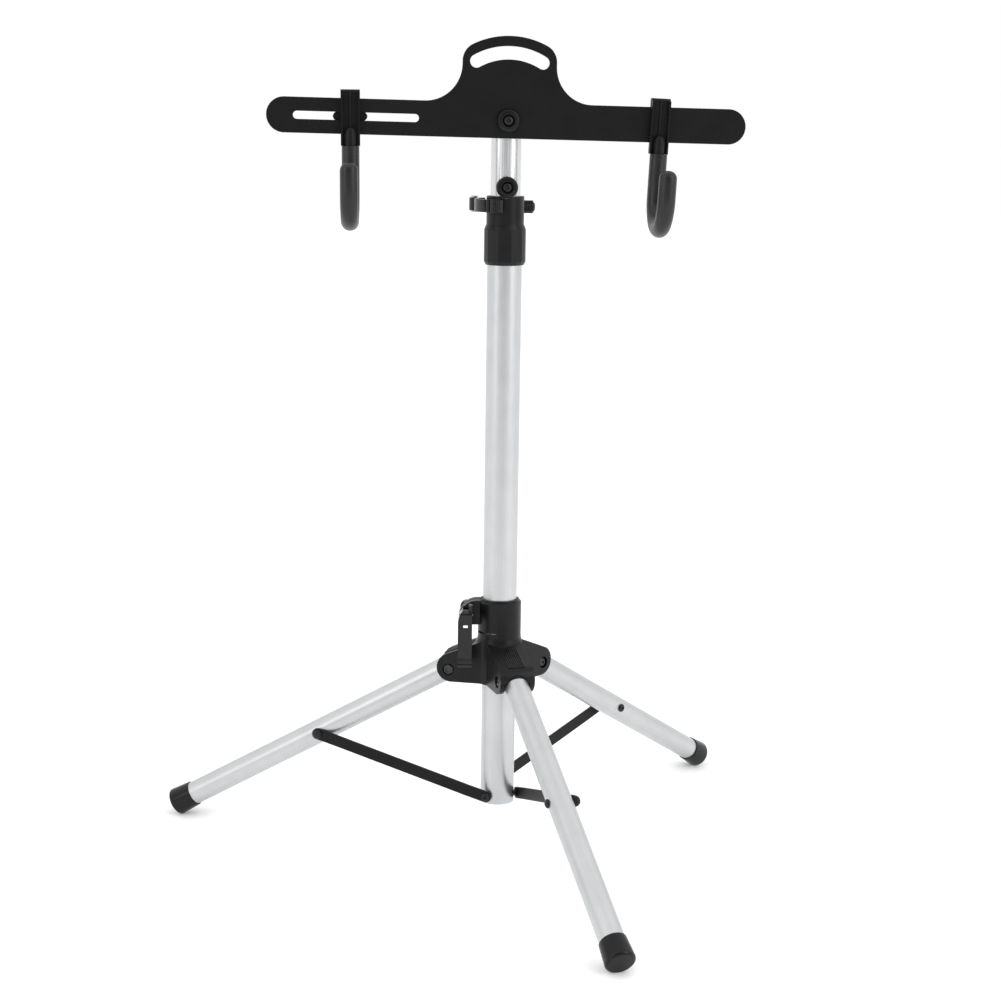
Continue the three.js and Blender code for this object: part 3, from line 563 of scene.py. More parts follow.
# ---- hub
hubSet = {
    "foot": 175.6, "deck": 222, "top": 264.5, "radius": 22.35, "boss": 24, "bore": 17.8,
    "yokeHalf": 18.5, "endR": 47.2, "endZ": 190.8, "endRadius": 15.2, "roofFall": 22.5,
    "roofRound": 5.6, "bayRadius": 13, "recessRadius": 6.2, "recess": 2.9,
    "ribFrom": 27, "ribTo": 56, "ribPitch": 2.1, "ribCount": 9,
    "ribRadius": 0.7, "ribRise": 0.25, "ribSide": 0.8,
    "slitLow": 228.7, "slitHigh": 230.9, "slitFrom": 172, "slitTo": 263,
}
earSet = {"outer": -42.6, "inner": -12, "corner": 19.5, "half": 9, "low": 237.5,
          "boltX": -34.8, "boltZ": 251.5}


def roofHeight(h, r):
    lean = math.radians(h["roofFall"])
    touchR = h["endR"] + h["endRadius"] * math.sin(lean)
    touchZ = h["endZ"] + h["endRadius"] * math.cos(lean)
    return touchZ + (touchR - r) * math.tan(lean)


def yokeShape(h):
    pivotR, pivotZ = standSet["legPivotR"], standSet["legPivotZ"]
    body = slabOf((12, h["foot"]), [
        ("line", h["endR"], h["foot"]), ("arc", h["endR"], h["endZ"], 180 - h["roofFall"], 26),
        ("line", 12, roofHeight(h, 12))], -h["yokeHalf"], h["yokeHalf"])
    softened(body, h["roofRound"], 6, lambda edge: abs(edge.verts[0].co.y - edge.verts[1].co.y) < 0.1
             and min(edge.verts[0].co.z, edge.verts[1].co.z) > h["endZ"] - 4
             and abs(edge.verts[0].co.y) > h["yokeHalf"] - 0.1
             and max(edge.verts[0].co.x, edge.verts[1].co.x) > 13)
    ball = bmesh.new()
    bmesh.ops.create_uvsphere(ball, u_segments=48, v_segments=24, radius=h["bayRadius"])
    moved(ball, shift(pivotR, 0, pivotZ))
    barrel = moved(rodOf(h["bayRadius"], 0, 40, 48),
                   shift(pivotR, 0, pivotZ) @ turn(standSet["legSlope"], "Y") @ alongX)
    below = blockOf(pivotR - h["bayRadius"] - 1, pivotR + 40, -h["bayRadius"], h["bayRadius"],
                    pivotZ - 40, pivotZ)
    floor = h["yokeHalf"] - h["recess"]
    recesses = [moved(rodOf(h["recessRadius"], floor, 30, 48), shift(pivotR, 0, pivotZ) @ alongY),
                moved(rodOf(h["recessRadius"], -30, -floor, 48), shift(pivotR, 0, pivotZ) @ alongY)]
    hole = moved(rodOf(3.3, -30, 30, 32), shift(pivotR, 0, pivotZ) @ alongY)
    return cutBy(body, ball, barrel, below, *recesses, hole)


def ringSector(inner, outer, fromAngle, toAngle, low, high):
    bm = bmesh.new()
    corners = [bm.verts.new(point)
               for point in ((inner, 0, low), (outer, 0, low), (outer, 0, high), (inner, 0, high))]
    bm.faces.new(corners)
    bmesh.ops.rotate(bm, verts=bm.verts, cent=(0, 0, 0),
                     matrix=Matrix.Rotation(math.radians(fromAngle), 3, "Z"))
    bmesh.ops.spin(bm, geom=bm.verts[:] + bm.edges[:] + bm.faces[:], cent=(0, 0, 0), axis=(0, 0, 1),
                   angle=math.radians(toAngle - fromAngle), steps=28, use_merge=False)
    return tidyMesh(bm)


def earMoves(e, top, low):
    return (e["inner"], low), [("line", e["inner"], top), ("line", e["outer"] + e["corner"], top),
                               ("arc", e["outer"] + e["corner"], top - e["corner"], 90, 20),
                               ("line", e["outer"], low)]


def hubShape(h, e):
    core = spunProfile([(h["bore"], h["foot"]), (h["boss"], h["foot"]), (h["boss"], h["deck"] - 3),
                        (h["radius"] + 0.6, h["deck"]), (h["radius"], h["deck"] + 2.5),
                        (h["radius"], h["top"] - 3.4), (h["radius"] - 1.1, h["top"] - 2.2),
                        (h["radius"] - 2.0, h["top"] - 2.0), (h["radius"] - 2.4, h["top"] - 0.3),
                        (h["radius"] - 2.9, h["top"]), (h["bore"] + 0.5, h["top"]),
                        (h["bore"], h["top"] - 0.5)],
                       96, True)
    start, moves = earMoves(e, h["top"] - 1.6, e["low"])
    ear = slabOf(start, moves, -e["half"], e["half"])
    shape = joined(core, ear)
    yoke = yokeShape(h)
    for azimuth in standSet["legAzimuths"]:
        shape = joined(shape, copyOf(yoke, turn(azimuth, "Z")))
    yoke.free()
    return cutBy(shape,
                 rodOf(h["bore"], h["foot"] - 5, h["top"] + 5, 96),
                 ringSector(h["bore"] - 2, 40, h["slitFrom"], h["slitTo"], h["slitLow"], h["slitHigh"]),
                 blockOf(-60, -10, -1, 1, h["slitLow"], h["top"] + 5),
                 moved(rodOf(3.3, -30, 30, 40), shift(e["boltX"], 0, e["boltZ"]) @ alongY))


finishPiece("hub", hubShape(hubSet, earSet), basePlace, "hub_carriage", "black_mould", mouldedNylon,
                  "hub", edge=0.55, edgeSteps=3)


def roofRibs(h):
    ribs = bmesh.new()
    middle = (h["ribFrom"] + h["ribTo"]) / 2
    length = (h["ribTo"] - h["ribFrom"]) / math.cos(math.radians(h["roofFall"]))
    for index in range(h["ribCount"]):
        side = (index - (h["ribCount"] - 1) / 2) * h["ribPitch"]
        onRoof = shift(middle, side + h["ribSide"], roofHeight(h, middle) + h["ribRise"])
        bmesh.ops.create_cone(ribs, cap_ends=True, segments=10, radius1=h["ribRadius"],
                              radius2=h["ribRadius"], depth=length,
                              matrix=onRoof @ turn(h["roofFall"], "Y") @ alongX)
    return ribs


for number, azimuth in enumerate(standSet["legAzimuths"], 1):
    finishPiece(f"yokeRibs_{number}", moved(roofRibs(hubSet), turn(azimuth, "Z")), basePlace, "hub_carriage",
                "black_mould", leverNylon, edge=0.2)
print("hub made")

leverSet = {
    "width": 13.6, "foot": 197, "front": -30.4, "thick": 4, "lip": 205, "camY": -20.5, "camRadius": 10.3,
    "pinY": -23.3, "holeZ": 240, "holeHalf": 2.3, "holeTall": 1.8,
    "forkHalf": 3, "wallY": -28.9, "wallUp": 3,
}


def hubLeverShape(v, e, top):
    x0, x1 = e["outer"], e["boltX"] + v["width"] / 2
    cam = moved(rodOf(v["camRadius"], x0, x1, 64), shift(0, v["camY"], e["boltZ"]) @ alongX)
    strap = blockOf(x0, x1, v["front"], v["front"] + v["thick"], v["foot"] + 2, e["boltZ"])
    tip = moved(rodOf(2.6, x0, x1, 32), shift(0, v["front"] + 2, v["foot"] + 2.6) @ alongX)
    ridge = moved(rodOf(1.6, x0, x1, 24), shift(0, v["front"] + 0.5, v["lip"]) @ alongX)
    start, moves = earMoves(e, top, v["foot"] - 1)
    face = slabOf(start, moves, v["front"] - 10, 0)
    lever = combined(joined(cam, strap, tip, ridge), "INTERSECT", face)
    fork = cutBy(moved(rodOf(v["camRadius"] + 6, e["boltX"] - v["forkHalf"], e["boltX"] + v["forkHalf"], 48),
                       shift(0, v["pinY"], e["boltZ"]) @ alongX),
                 blockOf(e["boltX"] - 5, e["boltX"] + 5, v["front"] - 10, v["camY"] + 20, e["boltZ"] - 40,
                         e["boltZ"] - 5.6),
                 blockOf(e["boltX"] - 5, e["boltX"] + 5, v["front"] - 10, v["wallY"], e["boltZ"] - 40,
                         e["boltZ"] + v["wallUp"]))
    pinHole = moved(rodOf(2.1, x0 - 2, x1 + 2, 32), shift(0, v["pinY"], e["boltZ"]) @ alongX)
    window = blockOf(e["boltX"] - v["holeHalf"], e["boltX"] + v["holeHalf"], v["front"] - 3,
                     v["front"] + v["thick"] + 3, v["holeZ"] - v["holeTall"], v["holeZ"] + v["holeTall"])
    return cutBy(lever, fork, pinHole, window)


finishPiece("hubLever", hubLeverShape(leverSet, earSet, hubSet["top"] - 1), basePlace, "hub_lever",
                       "black_mould", leverNylon, "hub_clamp_lever", edge=0.6, edgeSteps=3)
finishPiece(
    "hubLeverPin",
    moved(spunProfile([(0, -7.3), (1.4, -7.3), (2, -6.8), (2, 6.8), (1.4, 7.3), (0, 7.3)], 32),
          shift(earSet["boltX"], leverSet["pinY"], earSet["boltZ"]) @ alongX),
    basePlace, "hub_lever", "bright_steel", zincSteel, "hub_lever_pin")
# the hub clamp bolt takes the darkened zinc: painted shade, the plating itself is bright
finishPiece(
    "hubClampBolt",
    moved(eyeBolt(leverSet["pinY"], -9.9, -9.3, 15, 6.4), shift(earSet["boltX"], 0, earSet["boltZ"])
          @ alongY @ turn(90, "Z")),
    basePlace, "hub_carriage", "bright_steel", shadeDarkZinc, "hub_clamp_bolt", edge=0.2)
finishPiece(
    "hubClampNut",
    moved(knurledNut(9.3, 11, 6.5), shift(earSet["boltX"], 0, earSet["boltZ"]) @ alongY),
    basePlace, "hub_nut", "black_steel", blackZinc, "hub_clamp_nut", edge=0.15)
print("hub clamp made")

# ---- legs and braces
legSet = {"radius": 12.5, "bore": 11.2, "start": 9, "end": 353.5, "length": 356.5, "braceAlong": 164.9}
legFootSet = {"start": 331.5, "bore": 12.8, "rim": 13.6, "end": 14.9, "round": 3.0, "sole": 2.6}

slope = math.radians(standSet["legSlope"])
braceEndR = standSet["legPivotR"] + legSet["braceAlong"] * math.cos(slope)
braceEndZ = standSet["legPivotZ"] - legSet["braceAlong"] * math.sin(slope)
braceLength = math.hypot(braceEndR - braceSet["r"], braceEndZ - braceSet["z"])
braceRise = math.degrees(math.atan2(braceEndZ - braceSet["z"], braceEndR - braceSet["r"]))


def legFootShape(f, leg):
    rounding = [(f["end"] - f["round"] * (1 - math.cos(math.radians(angle))),
                 leg["length"] - f["round"] * (1 - math.sin(math.radians(angle))))
                for angle in range(0, 91, 15)]
    cap = spunProfile([(0, leg["length"] - f["sole"]), (f["bore"], leg["length"] - f["sole"]),
                       (f["bore"], f["start"]), (f["rim"] - 0.5, f["start"]), (f["rim"], f["start"] + 0.6),
                       *rounding, (0, leg["length"])], 80)
    moved(cap, alongX)
    downwards = Vector((math.sin(slope), 0, -math.cos(slope)))
    onGround = downwards * standSet["legPivotZ"]
    bmesh.ops.bisect_plane(cap, geom=cap.verts[:] + cap.edges[:] + cap.faces[:], dist=0.0001,
                           plane_co=onGround, plane_no=downwards, clear_outer=True)
    openEdges = [edge for edge in cap.edges if edge.is_boundary]
    bmesh.ops.edgeloop_fill(cap, edges=openEdges)
    return cap


def braceShape(b):
    bar = slabOf((0, -b["half"]), [
        ("line", braceLength, -b["half"]), ("arc", braceLength, 0, 180, 20),
        ("line", 0, b["half"]), ("arc", 0, 0, 180, 20)], b["outer"] - 2, b["inner"] + b["thick"] + 2)
    near, far, reach = b["bendNear"], braceLength - b["bendFar"], braceLength + b["half"] + 1
    strip = layerOf((-b["half"] - 1, b["inner"]), [
        ("line", near, b["inner"]), ("line", far, b["outer"]), ("line", reach, b["outer"]),
        ("line", reach, b["outer"] + b["thick"]), ("line", far, b["outer"] + b["thick"]),
        ("line", near, b["inner"] + b["thick"]), ("line", -b["half"] - 1, b["inner"] + b["thick"])],
        -b["half"] - 2, b["half"] + 2)
    return cutBy(combined(bar, "INTERSECT", strip),
                 *[boltHole(8, 26, shift(x, 0, 0)) for x in (0, braceLength)])


for number, azimuth in enumerate(standSet["legAzimuths"], 1):
    yokePlace = basePlace @ turn(azimuth, "Z")
    pivotPlace = yokePlace @ shift(standSet["legPivotR"], 0, standSet["legPivotZ"])
    legPlace = pivotPlace @ turn(standSet["legSlope"], "Y")
    legTurn = (legPlace @ alongX).to_euler()
    legFinish = anodised(f"anodisedLeg_{number}", tuple(legTurn), tuple(legPlace.translation))
    legBody = f"leg_{number}"
    finishPiece(f"legTube_{number}",
                cutBy(moved(spunProfile([(legSet["bore"], legSet["start"]),
                                         (legSet["radius"], legSet["start"]),
                                         (legSet["radius"], legSet["end"]), (legSet["bore"], legSet["end"])],
                                        80, True), alongX),
                      boltHole(-20, 20, shift(legSet["braceAlong"], 0, 0))),
                legPlace, legBody, "anodised_tube", legFinish, f"leg_tube_{number}", edge=0.3)
    plug = [(legSet["radius"] * math.sin(math.radians(angle)),
             -legSet["radius"] * math.cos(math.radians(angle)))
            for angle in range(0, 91, 10)]
    finishPiece(f"legPlug_{number}",
                cutBy(moved(spunProfile([*plug, (legSet["radius"], 8.7), (10.9, 8.7), (10.9, 33),
                                         (0, 33)], 64),
                            alongX), boltHole(-20, 20, shift(0, 0, 0))),
                legPlace, legBody, "black_mould", mouldedNylon, f"leg_top_plug_{number}")
    finishPiece(f"legFoot_{number}", legFootShape(legFootSet, legSet), legPlace, legBody, "foot_rubber",
                footRubber, f"leg_foot_{number}", edge=0.35)
    finishPiece(f"legBraceBolt_{number}",
                moved(buttonScrew(-legSet["radius"] - 0.3, legSet["radius"], 4.6, 2.8, 2.6),
                      shift(legSet["braceAlong"], 0, 0) @ alongY),
                legPlace, legBody, "black_steel", blackZinc, f"leg_brace_bolt_{number}", edge=0.2)
    recessFloor = hubSet["yokeHalf"] - hubSet["recess"]
    # pivot bolts and nuts take the darkened zinc: painted shade of the yoke recesses, the plating itself is
    # bright
    finishPiece(f"pivotBolt_{number}",
                moved(buttonScrew(-recessFloor - 0.3, hubSet["yokeHalf"] - 1, 5.2, 2.5, 3), alongY),
                pivotPlace, "hub_carriage", "bright_steel", shadeDarkZinc, f"leg_pivot_bolt_{number}", edge=0.2)
    finishPiece(f"pivotNut_{number}", moved(hexNut(9.4, recessFloor + 0.3, hubSet["yokeHalf"] - 0.2), alongY),
                pivotPlace, "hub_carriage", "bright_steel", shadeDarkZinc, f"leg_pivot_nut_{number}", edge=0.3)
    linkPlace = yokePlace @ shift(braceSet["r"], 0, braceSet["z"])
    barPlace = linkPlace @ turn(-braceRise, "Y")
    strutBody = f"strut_{number}"
    finishPiece(f"braceBar_{number}", braceShape(braceSet), barPlace, strutBody, "black_coat", powderCoat,
                f"brace_{number}", edge=0.5)
    finishPiece(f"braceNut_{number}",
                moved(domeNut(braceSet["outer"] + braceSet["thick"] + 0.3, 4.4, 4.5, braceSet["outer"] + 0.3),
                      shift(braceLength, 0, 0) @ alongY),
                barPlace, strutBody, "black_steel", blackZinc, f"brace_nut_{number}", edge=0.2)
    screwSeat = braceSet["inner"] + braceSet["thick"] + 0.3
    finishPiece(f"braceScrew_{number}",
                moved(buttonScrew(-screwSeat, -11, 4.6, 2.8, 2.6), turn(180, "Z") @ alongY),
                linkPlace, "column", "black_steel", blackZinc, f"brace_tube_screw_{number}", edge=0.2)
print("legs and braces made")

# ---- mast fittings
cupSet = {"stop": {"radius": 10.75, "front": -21.2, "back": -10.8, "height": 686.2},
          "pivot": {"radius": 11.25, "front": -25.2, "back": -20.1, "height": 751.4}}


def cupShape(c, mastRadius):
    cup = spunProfile([(3.3, c["back"]), (c["radius"], c["back"]), (c["radius"], c["front"] + 2.2),
                       (c["radius"] - 0.7, c["front"] + 0.8), (c["radius"] - 2.0, c["front"]),
                       (6.9, c["front"]), (6.2, c["front"] + 0.5), (5.9, c["front"] + 3.6),
                       (3.3, c["front"] + 3.6)][::-1], 72, True)
    moved(cup, shift(0, 0, c["height"]) @ alongY)
    return cutBy(cup, rodOf(mastRadius + 0.3, c["height"] - 20, c["height"] + 20, 96))


for key, node, boltNode, nutNode in (("stop", "stop_bolt_cap", "stop_bolt", "stop_bolt_nut"),
                                     ("pivot", "pivot_bolt_cap", "pivot_bolt", "pivot_bolt_nut")):
    cupValues = cupSet[key]
    atBolt = mastPlace @ shift(0, 0, cupValues["height"]) @ alongY
    finishPiece(f"{key}Cup", cupShape(cupValues, mastSet["radius"]), mastPlace, "mast",
                "black_mould", mouldedNylon,
                node, edge=0.3)
    finishPiece(f"{key}Bolt", buttonScrew(cupValues["front"] + 3.4, 20, 5.4, 3, 4), atBolt, "mast",
                "black_steel",
                blackZinc, boltNode, edge=0.2)
    finishPiece(f"{key}Nut", hexNut(10, mastSet["radius"] + 0.3, mastSet["radius"] + 5), atBolt, "mast",
                "bright_steel", zincSteel, nutNode, edge=0.35)

saddleSet = {"half": 12, "tall": 12.5, "back": -9, "front": -16.0}
saddle = blockOf(-saddleSet["half"], saddleSet["half"], saddleSet["front"], saddleSet["back"],
                 standSet["plateHeight"] - saddleSet["tall"], standSet["plateHeight"] + saddleSet["tall"])
softened(saddle, 2.5, 4, lambda edge: abs(edge.verts[0].co.y - edge.verts[1].co.y) > 1)
finishPiece("plateSaddle",
            cutBy(saddle, rodOf(15.3, 700, 800, 96), boltHole(-30, 0, shift(0, 0, standSet["plateHeight"]))),
            mastPlace, "mast", "black_mould",
            mouldedNylon, "plate_saddle", edge=0.4)
print("mast fittings made")

# ---- plate
plateSet = {"back": -16.3, "thick": 3.5, "half": 237, "bar": 17.3, "neck": 46.4, "fillet": 36.2,
            "archOuter": 81.48, "shoulder": 18, "slotMid": 65.3, "slotHalf": 6.4, "slotSweep": 30.1,
            "hookSlotFrom": -211, "hookSlotTo": -88, "hookSlotHalf": 3.9, "leftX": -155.2, "rightX": 150.2}


def plateShape(p):
    endX = p["half"] - p["bar"]
    filletX, filletZ = p["neck"] + p["fillet"], p["bar"] + p["fillet"]
    shoulderX = p["neck"] - p["shoulder"]
    shoulderZ = math.sqrt((p["archOuter"] - p["shoulder"]) ** 2 - shoulderX ** 2)
    lean = math.degrees(math.atan2(shoulderZ, shoulderX))
    front, back = p["back"] - p["thick"], p["back"]
    sheet = slabOf((-endX, -p["bar"]), [
        ("line", endX, -p["bar"]), ("arc", endX, 0, 180, 32), ("line", filletX, p["bar"]),
        ("arc", filletX, filletZ, -90, 24), ("line", p["neck"], shoulderZ),
        ("arc", shoulderX, shoulderZ, lean, 20), ("arc", 0, 0, 180 - 2 * lean, 40),
        ("arc", -shoulderX, shoulderZ, lean, 20), ("line", -p["neck"], filletZ),
        ("arc", -filletX, filletZ, -90, 24), ("line", -endX, p["bar"]),
        ("arc", -endX, 0, 180, 32)], front, back)
    startAngle = 90 - p["slotSweep"]
    ray = math.radians(startAngle)
    outerR = p["slotMid"] + p["slotHalf"]
    farEnd = math.radians(90 + p["slotSweep"])
    handle = slabOf((outerR * math.cos(ray), outerR * math.sin(ray)), [
        ("arc", 0, 0, 2 * p["slotSweep"], 40),
        ("arc", p["slotMid"] * math.cos(farEnd), p["slotMid"] * math.sin(farEnd), 180, 18),
        ("arc", 0, 0, -2 * p["slotSweep"], 40),
        ("arc", p["slotMid"] * math.cos(ray), p["slotMid"] * math.sin(ray), 180, 18)], front - 3, back + 3)
    low, high, half = p["hookSlotFrom"], p["hookSlotTo"], p["hookSlotHalf"]
    longSlot = slabOf((low + half, -half), [
        ("line", high - half, -half), ("arc", high - half, 0, 180, 18), ("line", low + half, half),
        ("arc", low + half, 0, 180, 18)], front - 3, back + 3)
    holes = [moved(rodOf(3.3, -40, 0, 40), shift(x, 0, 0) @ alongY) for x in (0, p["rightX"])]
    return cutBy(sheet, handle, longSlot, *holes)


finishPiece("hookPlate", plateShape(plateSet), headPlace, "head", "black_coat", powderCoat,
                        "hook_plate", edge=0.6, edgeSteps=3)
print("plate made")

# ---- hooks
hookSet = {"y": -27.2, "radius": 8.65, "bend": 30, "lowest": -109, "tip": -43, "tipRound": 7.6,
           "start": -28.4,
           "rodRadius": 4, "rodTop": -17}
bracketSet = {"half": 9.4, "top": 25.8, "foot": -28.38, "sheet": 2.4, "lip": 1.8, "lipFront": -26.6,
              "rib": 5.2, "channel": 12, "ridge": 1.5}


def hookLine(h, radius, startZ, ringSteps, tipRound):
    bm = bmesh.new()
    bmesh.ops.create_circle(bm, cap_ends=False, segments=ringSteps, radius=radius,
                            matrix=shift(0, h["y"], startZ))
    bendZ = h["lowest"] + h["radius"] + h["bend"]

    def pushed(edges, vector, shrink=1.0):
        grown = bmesh.ops.extrude_edge_only(bm, edges=edges)
        fresh = [part for part in grown["geom"] if isinstance(part, bmesh.types.BMVert)]
        bmesh.ops.translate(bm, verts=fresh, vec=vector)
        middle = sum((vert.co for vert in fresh), Vector()) / len(fresh)
        bmesh.ops.scale(bm, verts=fresh, vec=(shrink, shrink, 1), space=Matrix.Translation(-middle))
        return [part for part in grown["geom"] if isinstance(part, bmesh.types.BMEdge)]

    ring = bm.edges[:]
    steps = 6
    for _ in range(steps):
        ring = pushed(ring, (0, 0, (bendZ - startZ) / steps))
    bent = bmesh.ops.spin(bm, geom=ring + list({vert for edge in ring for vert in edge.verts}),
                          cent=(0, h["y"] - h["bend"], bendZ), axis=(-1, 0, 0), angle=math.pi, steps=28,
                          use_merge=False)
    ring = [part for part in bent["geom_last"] if isinstance(part, bmesh.types.BMEdge)]
    upTo = h["tip"] - tipRound
    for _ in range(3):
        ring = pushed(ring, (0, 0, (upTo - bendZ) / 3))
    size, height = radius, 0.0
    for angle in range(15, 91, 15):
        nextSize = radius - tipRound * (1 - math.cos(math.radians(angle)))
        nextHeight = tipRound * math.sin(math.radians(angle))
        ring = pushed(ring, (0, 0, nextHeight - height), nextSize / size)
        size, height = nextSize, nextHeight
    bmesh.ops.holes_fill(bm, edges=bm.edges[:], sides=0)
    return tidyMesh(bm)


def bracketShape(b, p, h):
    back = p["back"] - p["thick"] - 0.3
    front, wrapBack = back - b["sheet"], p["back"] + 0.3
    # drawn with y as the first number, then turned so that it faces forward
    sheet = slabOf((back, b["foot"]), [
        ("line", front, b["foot"]), ("line", front, b["top"] - 3), ("arc", front + 3, b["top"] - 3, -90, 8),
        ("line", wrapBack + b["sheet"] - 3, b["top"]),
        ("arc", wrapBack + b["sheet"] - 3, b["top"] - 3, -90, 8),
        ("line", wrapBack + b["sheet"], 9), ("line", wrapBack, 9),
        ("line", wrapBack, b["top"] - b["sheet"] - 0.8),
        ("line", wrapBack - 0.8, b["top"] - b["sheet"]), ("line", back + 0.8, b["top"] - b["sheet"]),
        ("line", back, b["top"] - b["sheet"] - 0.8)], -b["half"], b["half"])
    moved(sheet, turn(90, "Z"))
    lips = [blockOf(min(side * b["half"], side * (b["half"] - b["lip"])),
                    max(side * b["half"], side * (b["half"] - b["lip"])),
                    b["lipFront"], front + 1, b["foot"], b["top"] - 2.5) for side in (-1, 1)]
    ribTop = b["foot"] + b["channel"]
    channel = rodOf(b["rib"], b["foot"], ribTop, 40)
    moved(channel, shift(0, h["y"], 0))
    dome = bmesh.new()
    bmesh.ops.create_uvsphere(dome, u_segments=40, v_segments=20, radius=b["rib"])
    moved(dome, shift(0, h["y"], ribTop) @ Matrix.Diagonal((1, 1, 1.2, 1)))
    ridge = moved(rodOf(b["ridge"], ribTop, b["top"] - 1.5, 24), shift(0, front + 0.2, 0))
    fillet = blockOf(-b["rib"], b["rib"], h["y"], front + 1, b["foot"], ribTop)
    shape = joined(sheet, *lips, channel, dome, fillet, ridge)
    return cutBy(shape, moved(rodOf(h["rodRadius"] + 0.2, b["foot"] - 5, h["rodTop"], 32),
                              shift(0, h["y"], 0)))


# each hook leans a little on the bar, and its bent rod is turned a little in the bracket
hookSides = {
    "left": {"body": "left_hook", "x": plateSet["leftX"], "lean": -1.1, "swing": -2.5},
    "right": {"body": "head", "x": plateSet["rightX"], "lean": 1.6, "swing": 0.8},
}
hookPlaces = {side: headPlace @ shift(values["x"], 0, 0) @ turn(values["lean"], "Y")
              for side, values in hookSides.items()}
for side, values in hookSides.items():
    body, place = values["body"], hookPlaces[side]
    swung = place @ shift(0, hookSet["y"], 0) @ turn(values["swing"], "Z") @ shift(0, -hookSet["y"], 0)
    finishPiece(f"{side}HookSleeve",
                hookLine(hookSet, hookSet["radius"], hookSet["start"], 40, hookSet["tipRound"]),
                swung, body, "hook_rubber", hookRubber, f"{side}_hook_sleeve", edge=0.4)
    finishPiece(f"{side}HookRod",
                moved(rodOf(hookSet["rodRadius"], hookSet["start"] - 3, hookSet["rodTop"] - 0.3, 32),
                      shift(0, hookSet["y"], 0)),
                place, body, "bright_steel", zincSteel, f"{side}_hook_rod", edge=0.4)
    finishPiece(f"{side}HookBracket", bracketShape(bracketSet, plateSet, hookSet), place, body, "black_coat",
                powderCoat, f"{side}_hook_bracket", edge=0.5)

nutSeat = plateSet["back"] + 0.3
finishPiece("rightHookScrew",
            moved(spunProfile([(0, -22.3), (3, -22.3), (3, nutSeat), (6, nutSeat), (6, nutSeat + 1.5),
                               (5.4, nutSeat + 2.6), (4.2, nutSeat + 3.6), (2.5, nutSeat + 4.3),
                               (0, nutSeat + 4.4)],
                              40), alongY),
            hookPlaces["right"], "head", "black_steel", blackZinc, "right_hook_screw", edge=0.2)
finishPiece("leftHookStud", moved(rodOf(3, -22.3, -3.8, 32), alongY), hookPlaces["left"], "left_hook",
            "bright_steel",
            zincSteel, "left_hook_stud", edge=0.3)

knobSet = {"front": -12.8, "depth": 14, "radius": 15.2, "lobe": 1.8, "lobes": 6, "boss": 7.5,
           "bossFront": -16.0}


def knobShape(k):
    grip = bmesh.new()
    back = k["front"] + k["depth"]
    bmesh.ops.create_cone(grip, cap_ends=True, segments=96, radius1=k["radius"], radius2=k["radius"],
                          depth=k["depth"] - 2.5)
    for vert in grip.verts:
        around = math.atan2(vert.co.y, vert.co.x)
        vert.co.xy *= (k["radius"] + k["lobe"] * math.cos(k["lobes"] * around)) / k["radius"]
    moved(grip, shift(0, 0, k["front"] + k["depth"] / 2 - 0.25))
    softened(grip, 1.4, 4, lambda edge: abs(edge.verts[0].co.z - edge.verts[1].co.z) < 0.1)
    core = spunProfile([(0, k["bossFront"]), (k["boss"], k["bossFront"]), (k["boss"], k["front"]),
                        (k["radius"] - 3, k["front"]), (k["radius"] - 3, back - 1),
                        (k["radius"] - 3.6, back - 0.3),
                        (k["radius"] - 4.5, back), (0, back)], 64)
    shape = joined(grip, core)
    return moved(cutBy(shape, rodOf(3.2, k["bossFront"] - 1, k["front"] + 9.2, 32)), alongY)


finishPiece("hookKnob", knobShape(knobSet), hookPlaces["left"], "knob", "black_mould", mouldedNylon,
            "hook_knob", edge=0.4)
print("hooks made")

# ---- CAD nodes that stay: hidden plugs inside the tubes
for node in ("column_bottom_plug", "inner_tube_guide"):
    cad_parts[node].data.materials.clear()
    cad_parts[node].data.materials.append(mouldedNylon)

# ---- floor, light and camera
studioSet = {
    "floorColour": (0.95, 0.95, 0.95),
    "floorGlow": 0.14,
    "worldStrength": 1.0,
    "darkSide": 0.25,           # the unlit side of the room, towards the viewer
}
floorBm = bmesh.new()
bmesh.ops.create_grid(floorBm, x_segments=1, y_segments=1, size=14)
floor = looseObject(floorBm, "studioFloor")
floorFinish, floorTree, floorShader = nodeFinish("paleFloor", Roughness=0.9, Emission_Color=(1, 1, 1, 1),
                                               Emission_Strength=studioSet["floorGlow"])
tint = noiseField(floorTree, objectPattern(floorTree), 3.0, 2)
floorTree.links.new(colourBetween(floorTree, tint, studioSet["floorColour"],
                                  tuple(value + 0.01 for value in studioSet["floorColour"])),
                    floorShader.inputs["Base Color"])
floor.data.materials.append(floorFinish)

world = bpy.data.worlds.new("softStudio")
scene.world = world
world.use_nodes = True
sky = world.node_tree
skyShader = sky.nodes["Background"]
skyShader.inputs["Strength"].default_value = studioSet["worldStrength"]
direction = sky.nodes.new("ShaderNodeTexCoord")
towards = sky.nodes.new("ShaderNodeVectorMath")
towards.operation = "DOT_PRODUCT"
towards.inputs[1].default_value = Vector((-0.02, -0.98, 0.18)).normalized()
sky.links.new(direction.outputs["Generated"], towards.inputs[0])
shade = sky.nodes.new("ShaderNodeMapRange")
shade.interpolation_type = "SMOOTHSTEP"
shade.inputs["From Min"].default_value = math.cos(math.radians(52))
shade.inputs["From Max"].default_value = math.cos(math.radians(14))
shade.inputs["To Min"].default_value = 1.0
shade.inputs["To Max"].default_value = studioSet["darkSide"]
sky.links.new(towards.outputs["Value"], shade.inputs["Value"])
sky.links.new(shade.outputs["Result"], skyShader.inputs["Color"])

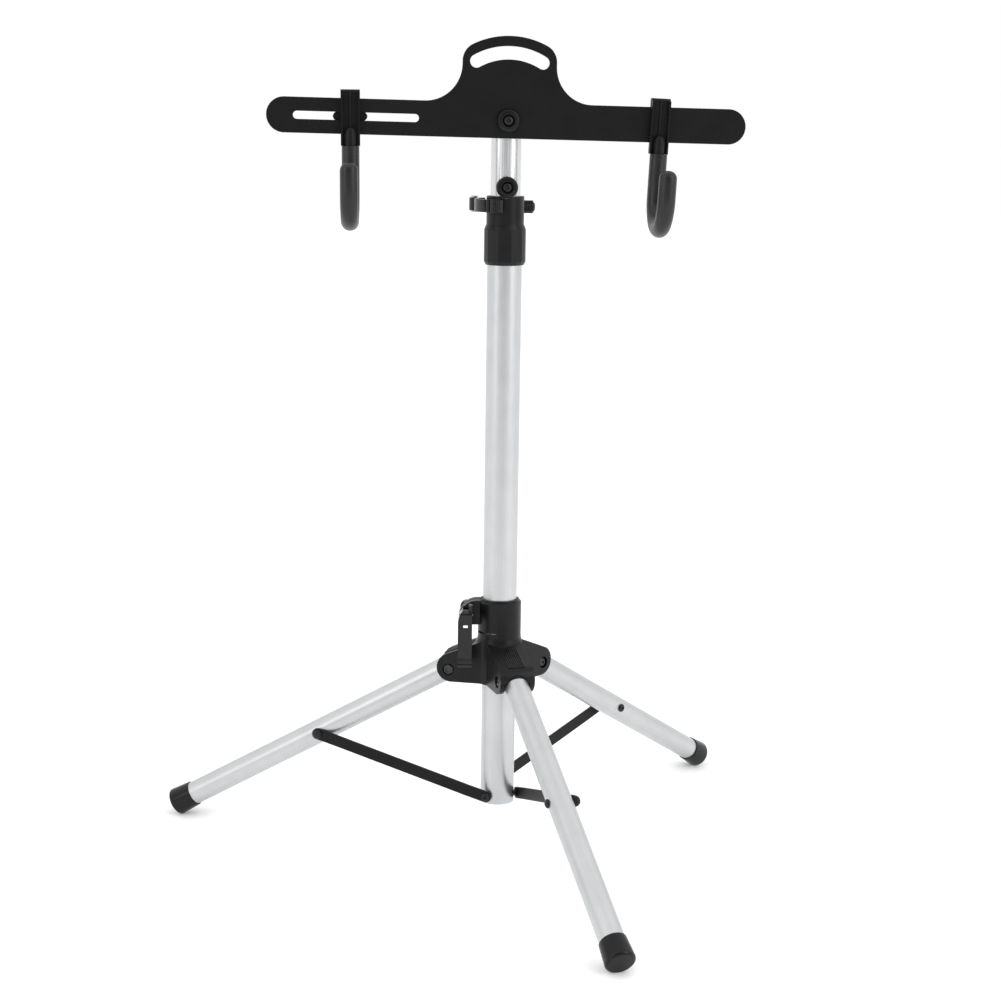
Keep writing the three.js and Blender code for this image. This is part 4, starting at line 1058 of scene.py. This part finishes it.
lampSet = {
    "rightSoftbox": {"at": (1.9, -1.5, 1.5), "aim": (0, 0, 0.45), "size": (1.2, 2.0), "watts": 15},
    "leftSoftbox": {"at": (-2.1, -1.3, 1.4), "aim": (0, 0, 0.45), "size": (1.0, 2.0), "watts": 8},
}
for name, values in lampSet.items():
    lamp = bpy.data.lights.new(name, "AREA")
    lamp.shape = "RECTANGLE"
    lamp.size, lamp.size_y = values["size"]
    lamp.energy = values["watts"]
    lampObject = bpy.data.objects.new(name, lamp)
    lampObject.location = values["at"]
    shining = Vector(values["aim"]) - Vector(values["at"])
    lampObject.rotation_euler = shining.to_track_quat("-Z", "Y").to_euler()
    scene.collection.objects.link(lampObject)

overhead = bpy.data.lights.new("overhead", "SUN")
overhead.energy = 0.45
overhead.angle = math.radians(120)
scene.collection.objects.link(bpy.data.objects.new("overhead", overhead))

cameraSet = {"fromAxis": (-0.1845, -2.0274), "height": 0.7574, "yaw": 5.18, "down": 10.852, "roll": 0.817,
             "lens": 72.43, "sensor": 36.0}
yaw, down, roll = (math.radians(cameraSet[key]) for key in ("yaw", "down", "roll"))
ahead = Vector((math.sin(yaw) * math.cos(down), math.cos(yaw) * math.cos(down), -math.sin(down)))
levelRight = Vector((math.cos(yaw), -math.sin(yaw), 0))
levelUp = levelRight.cross(ahead)
right = math.cos(roll) * levelRight + math.sin(roll) * levelUp
up = -math.sin(roll) * levelRight + math.cos(roll) * levelUp
cameraData = bpy.data.cameras.new("viewer")
cameraData.lens = cameraSet["lens"]
cameraData.sensor_width = cameraSet["sensor"]
cameraData.clip_end = 50
viewer = bpy.data.objects.new("viewer", cameraData)
viewer.matrix_world = Matrix((
    (right.x, up.x, -ahead.x, columnAxis.x + cameraSet["fromAxis"][0]),
    (right.y, up.y, -ahead.y, columnAxis.y + cameraSet["fromAxis"][1]),
    (right.z, up.z, -ahead.z, cameraSet["height"]),
    (0, 0, 0, 1)))
scene.collection.objects.link(viewer)
scene.camera = viewer
scene.view_settings.view_transform = "Standard"
print("studio made")
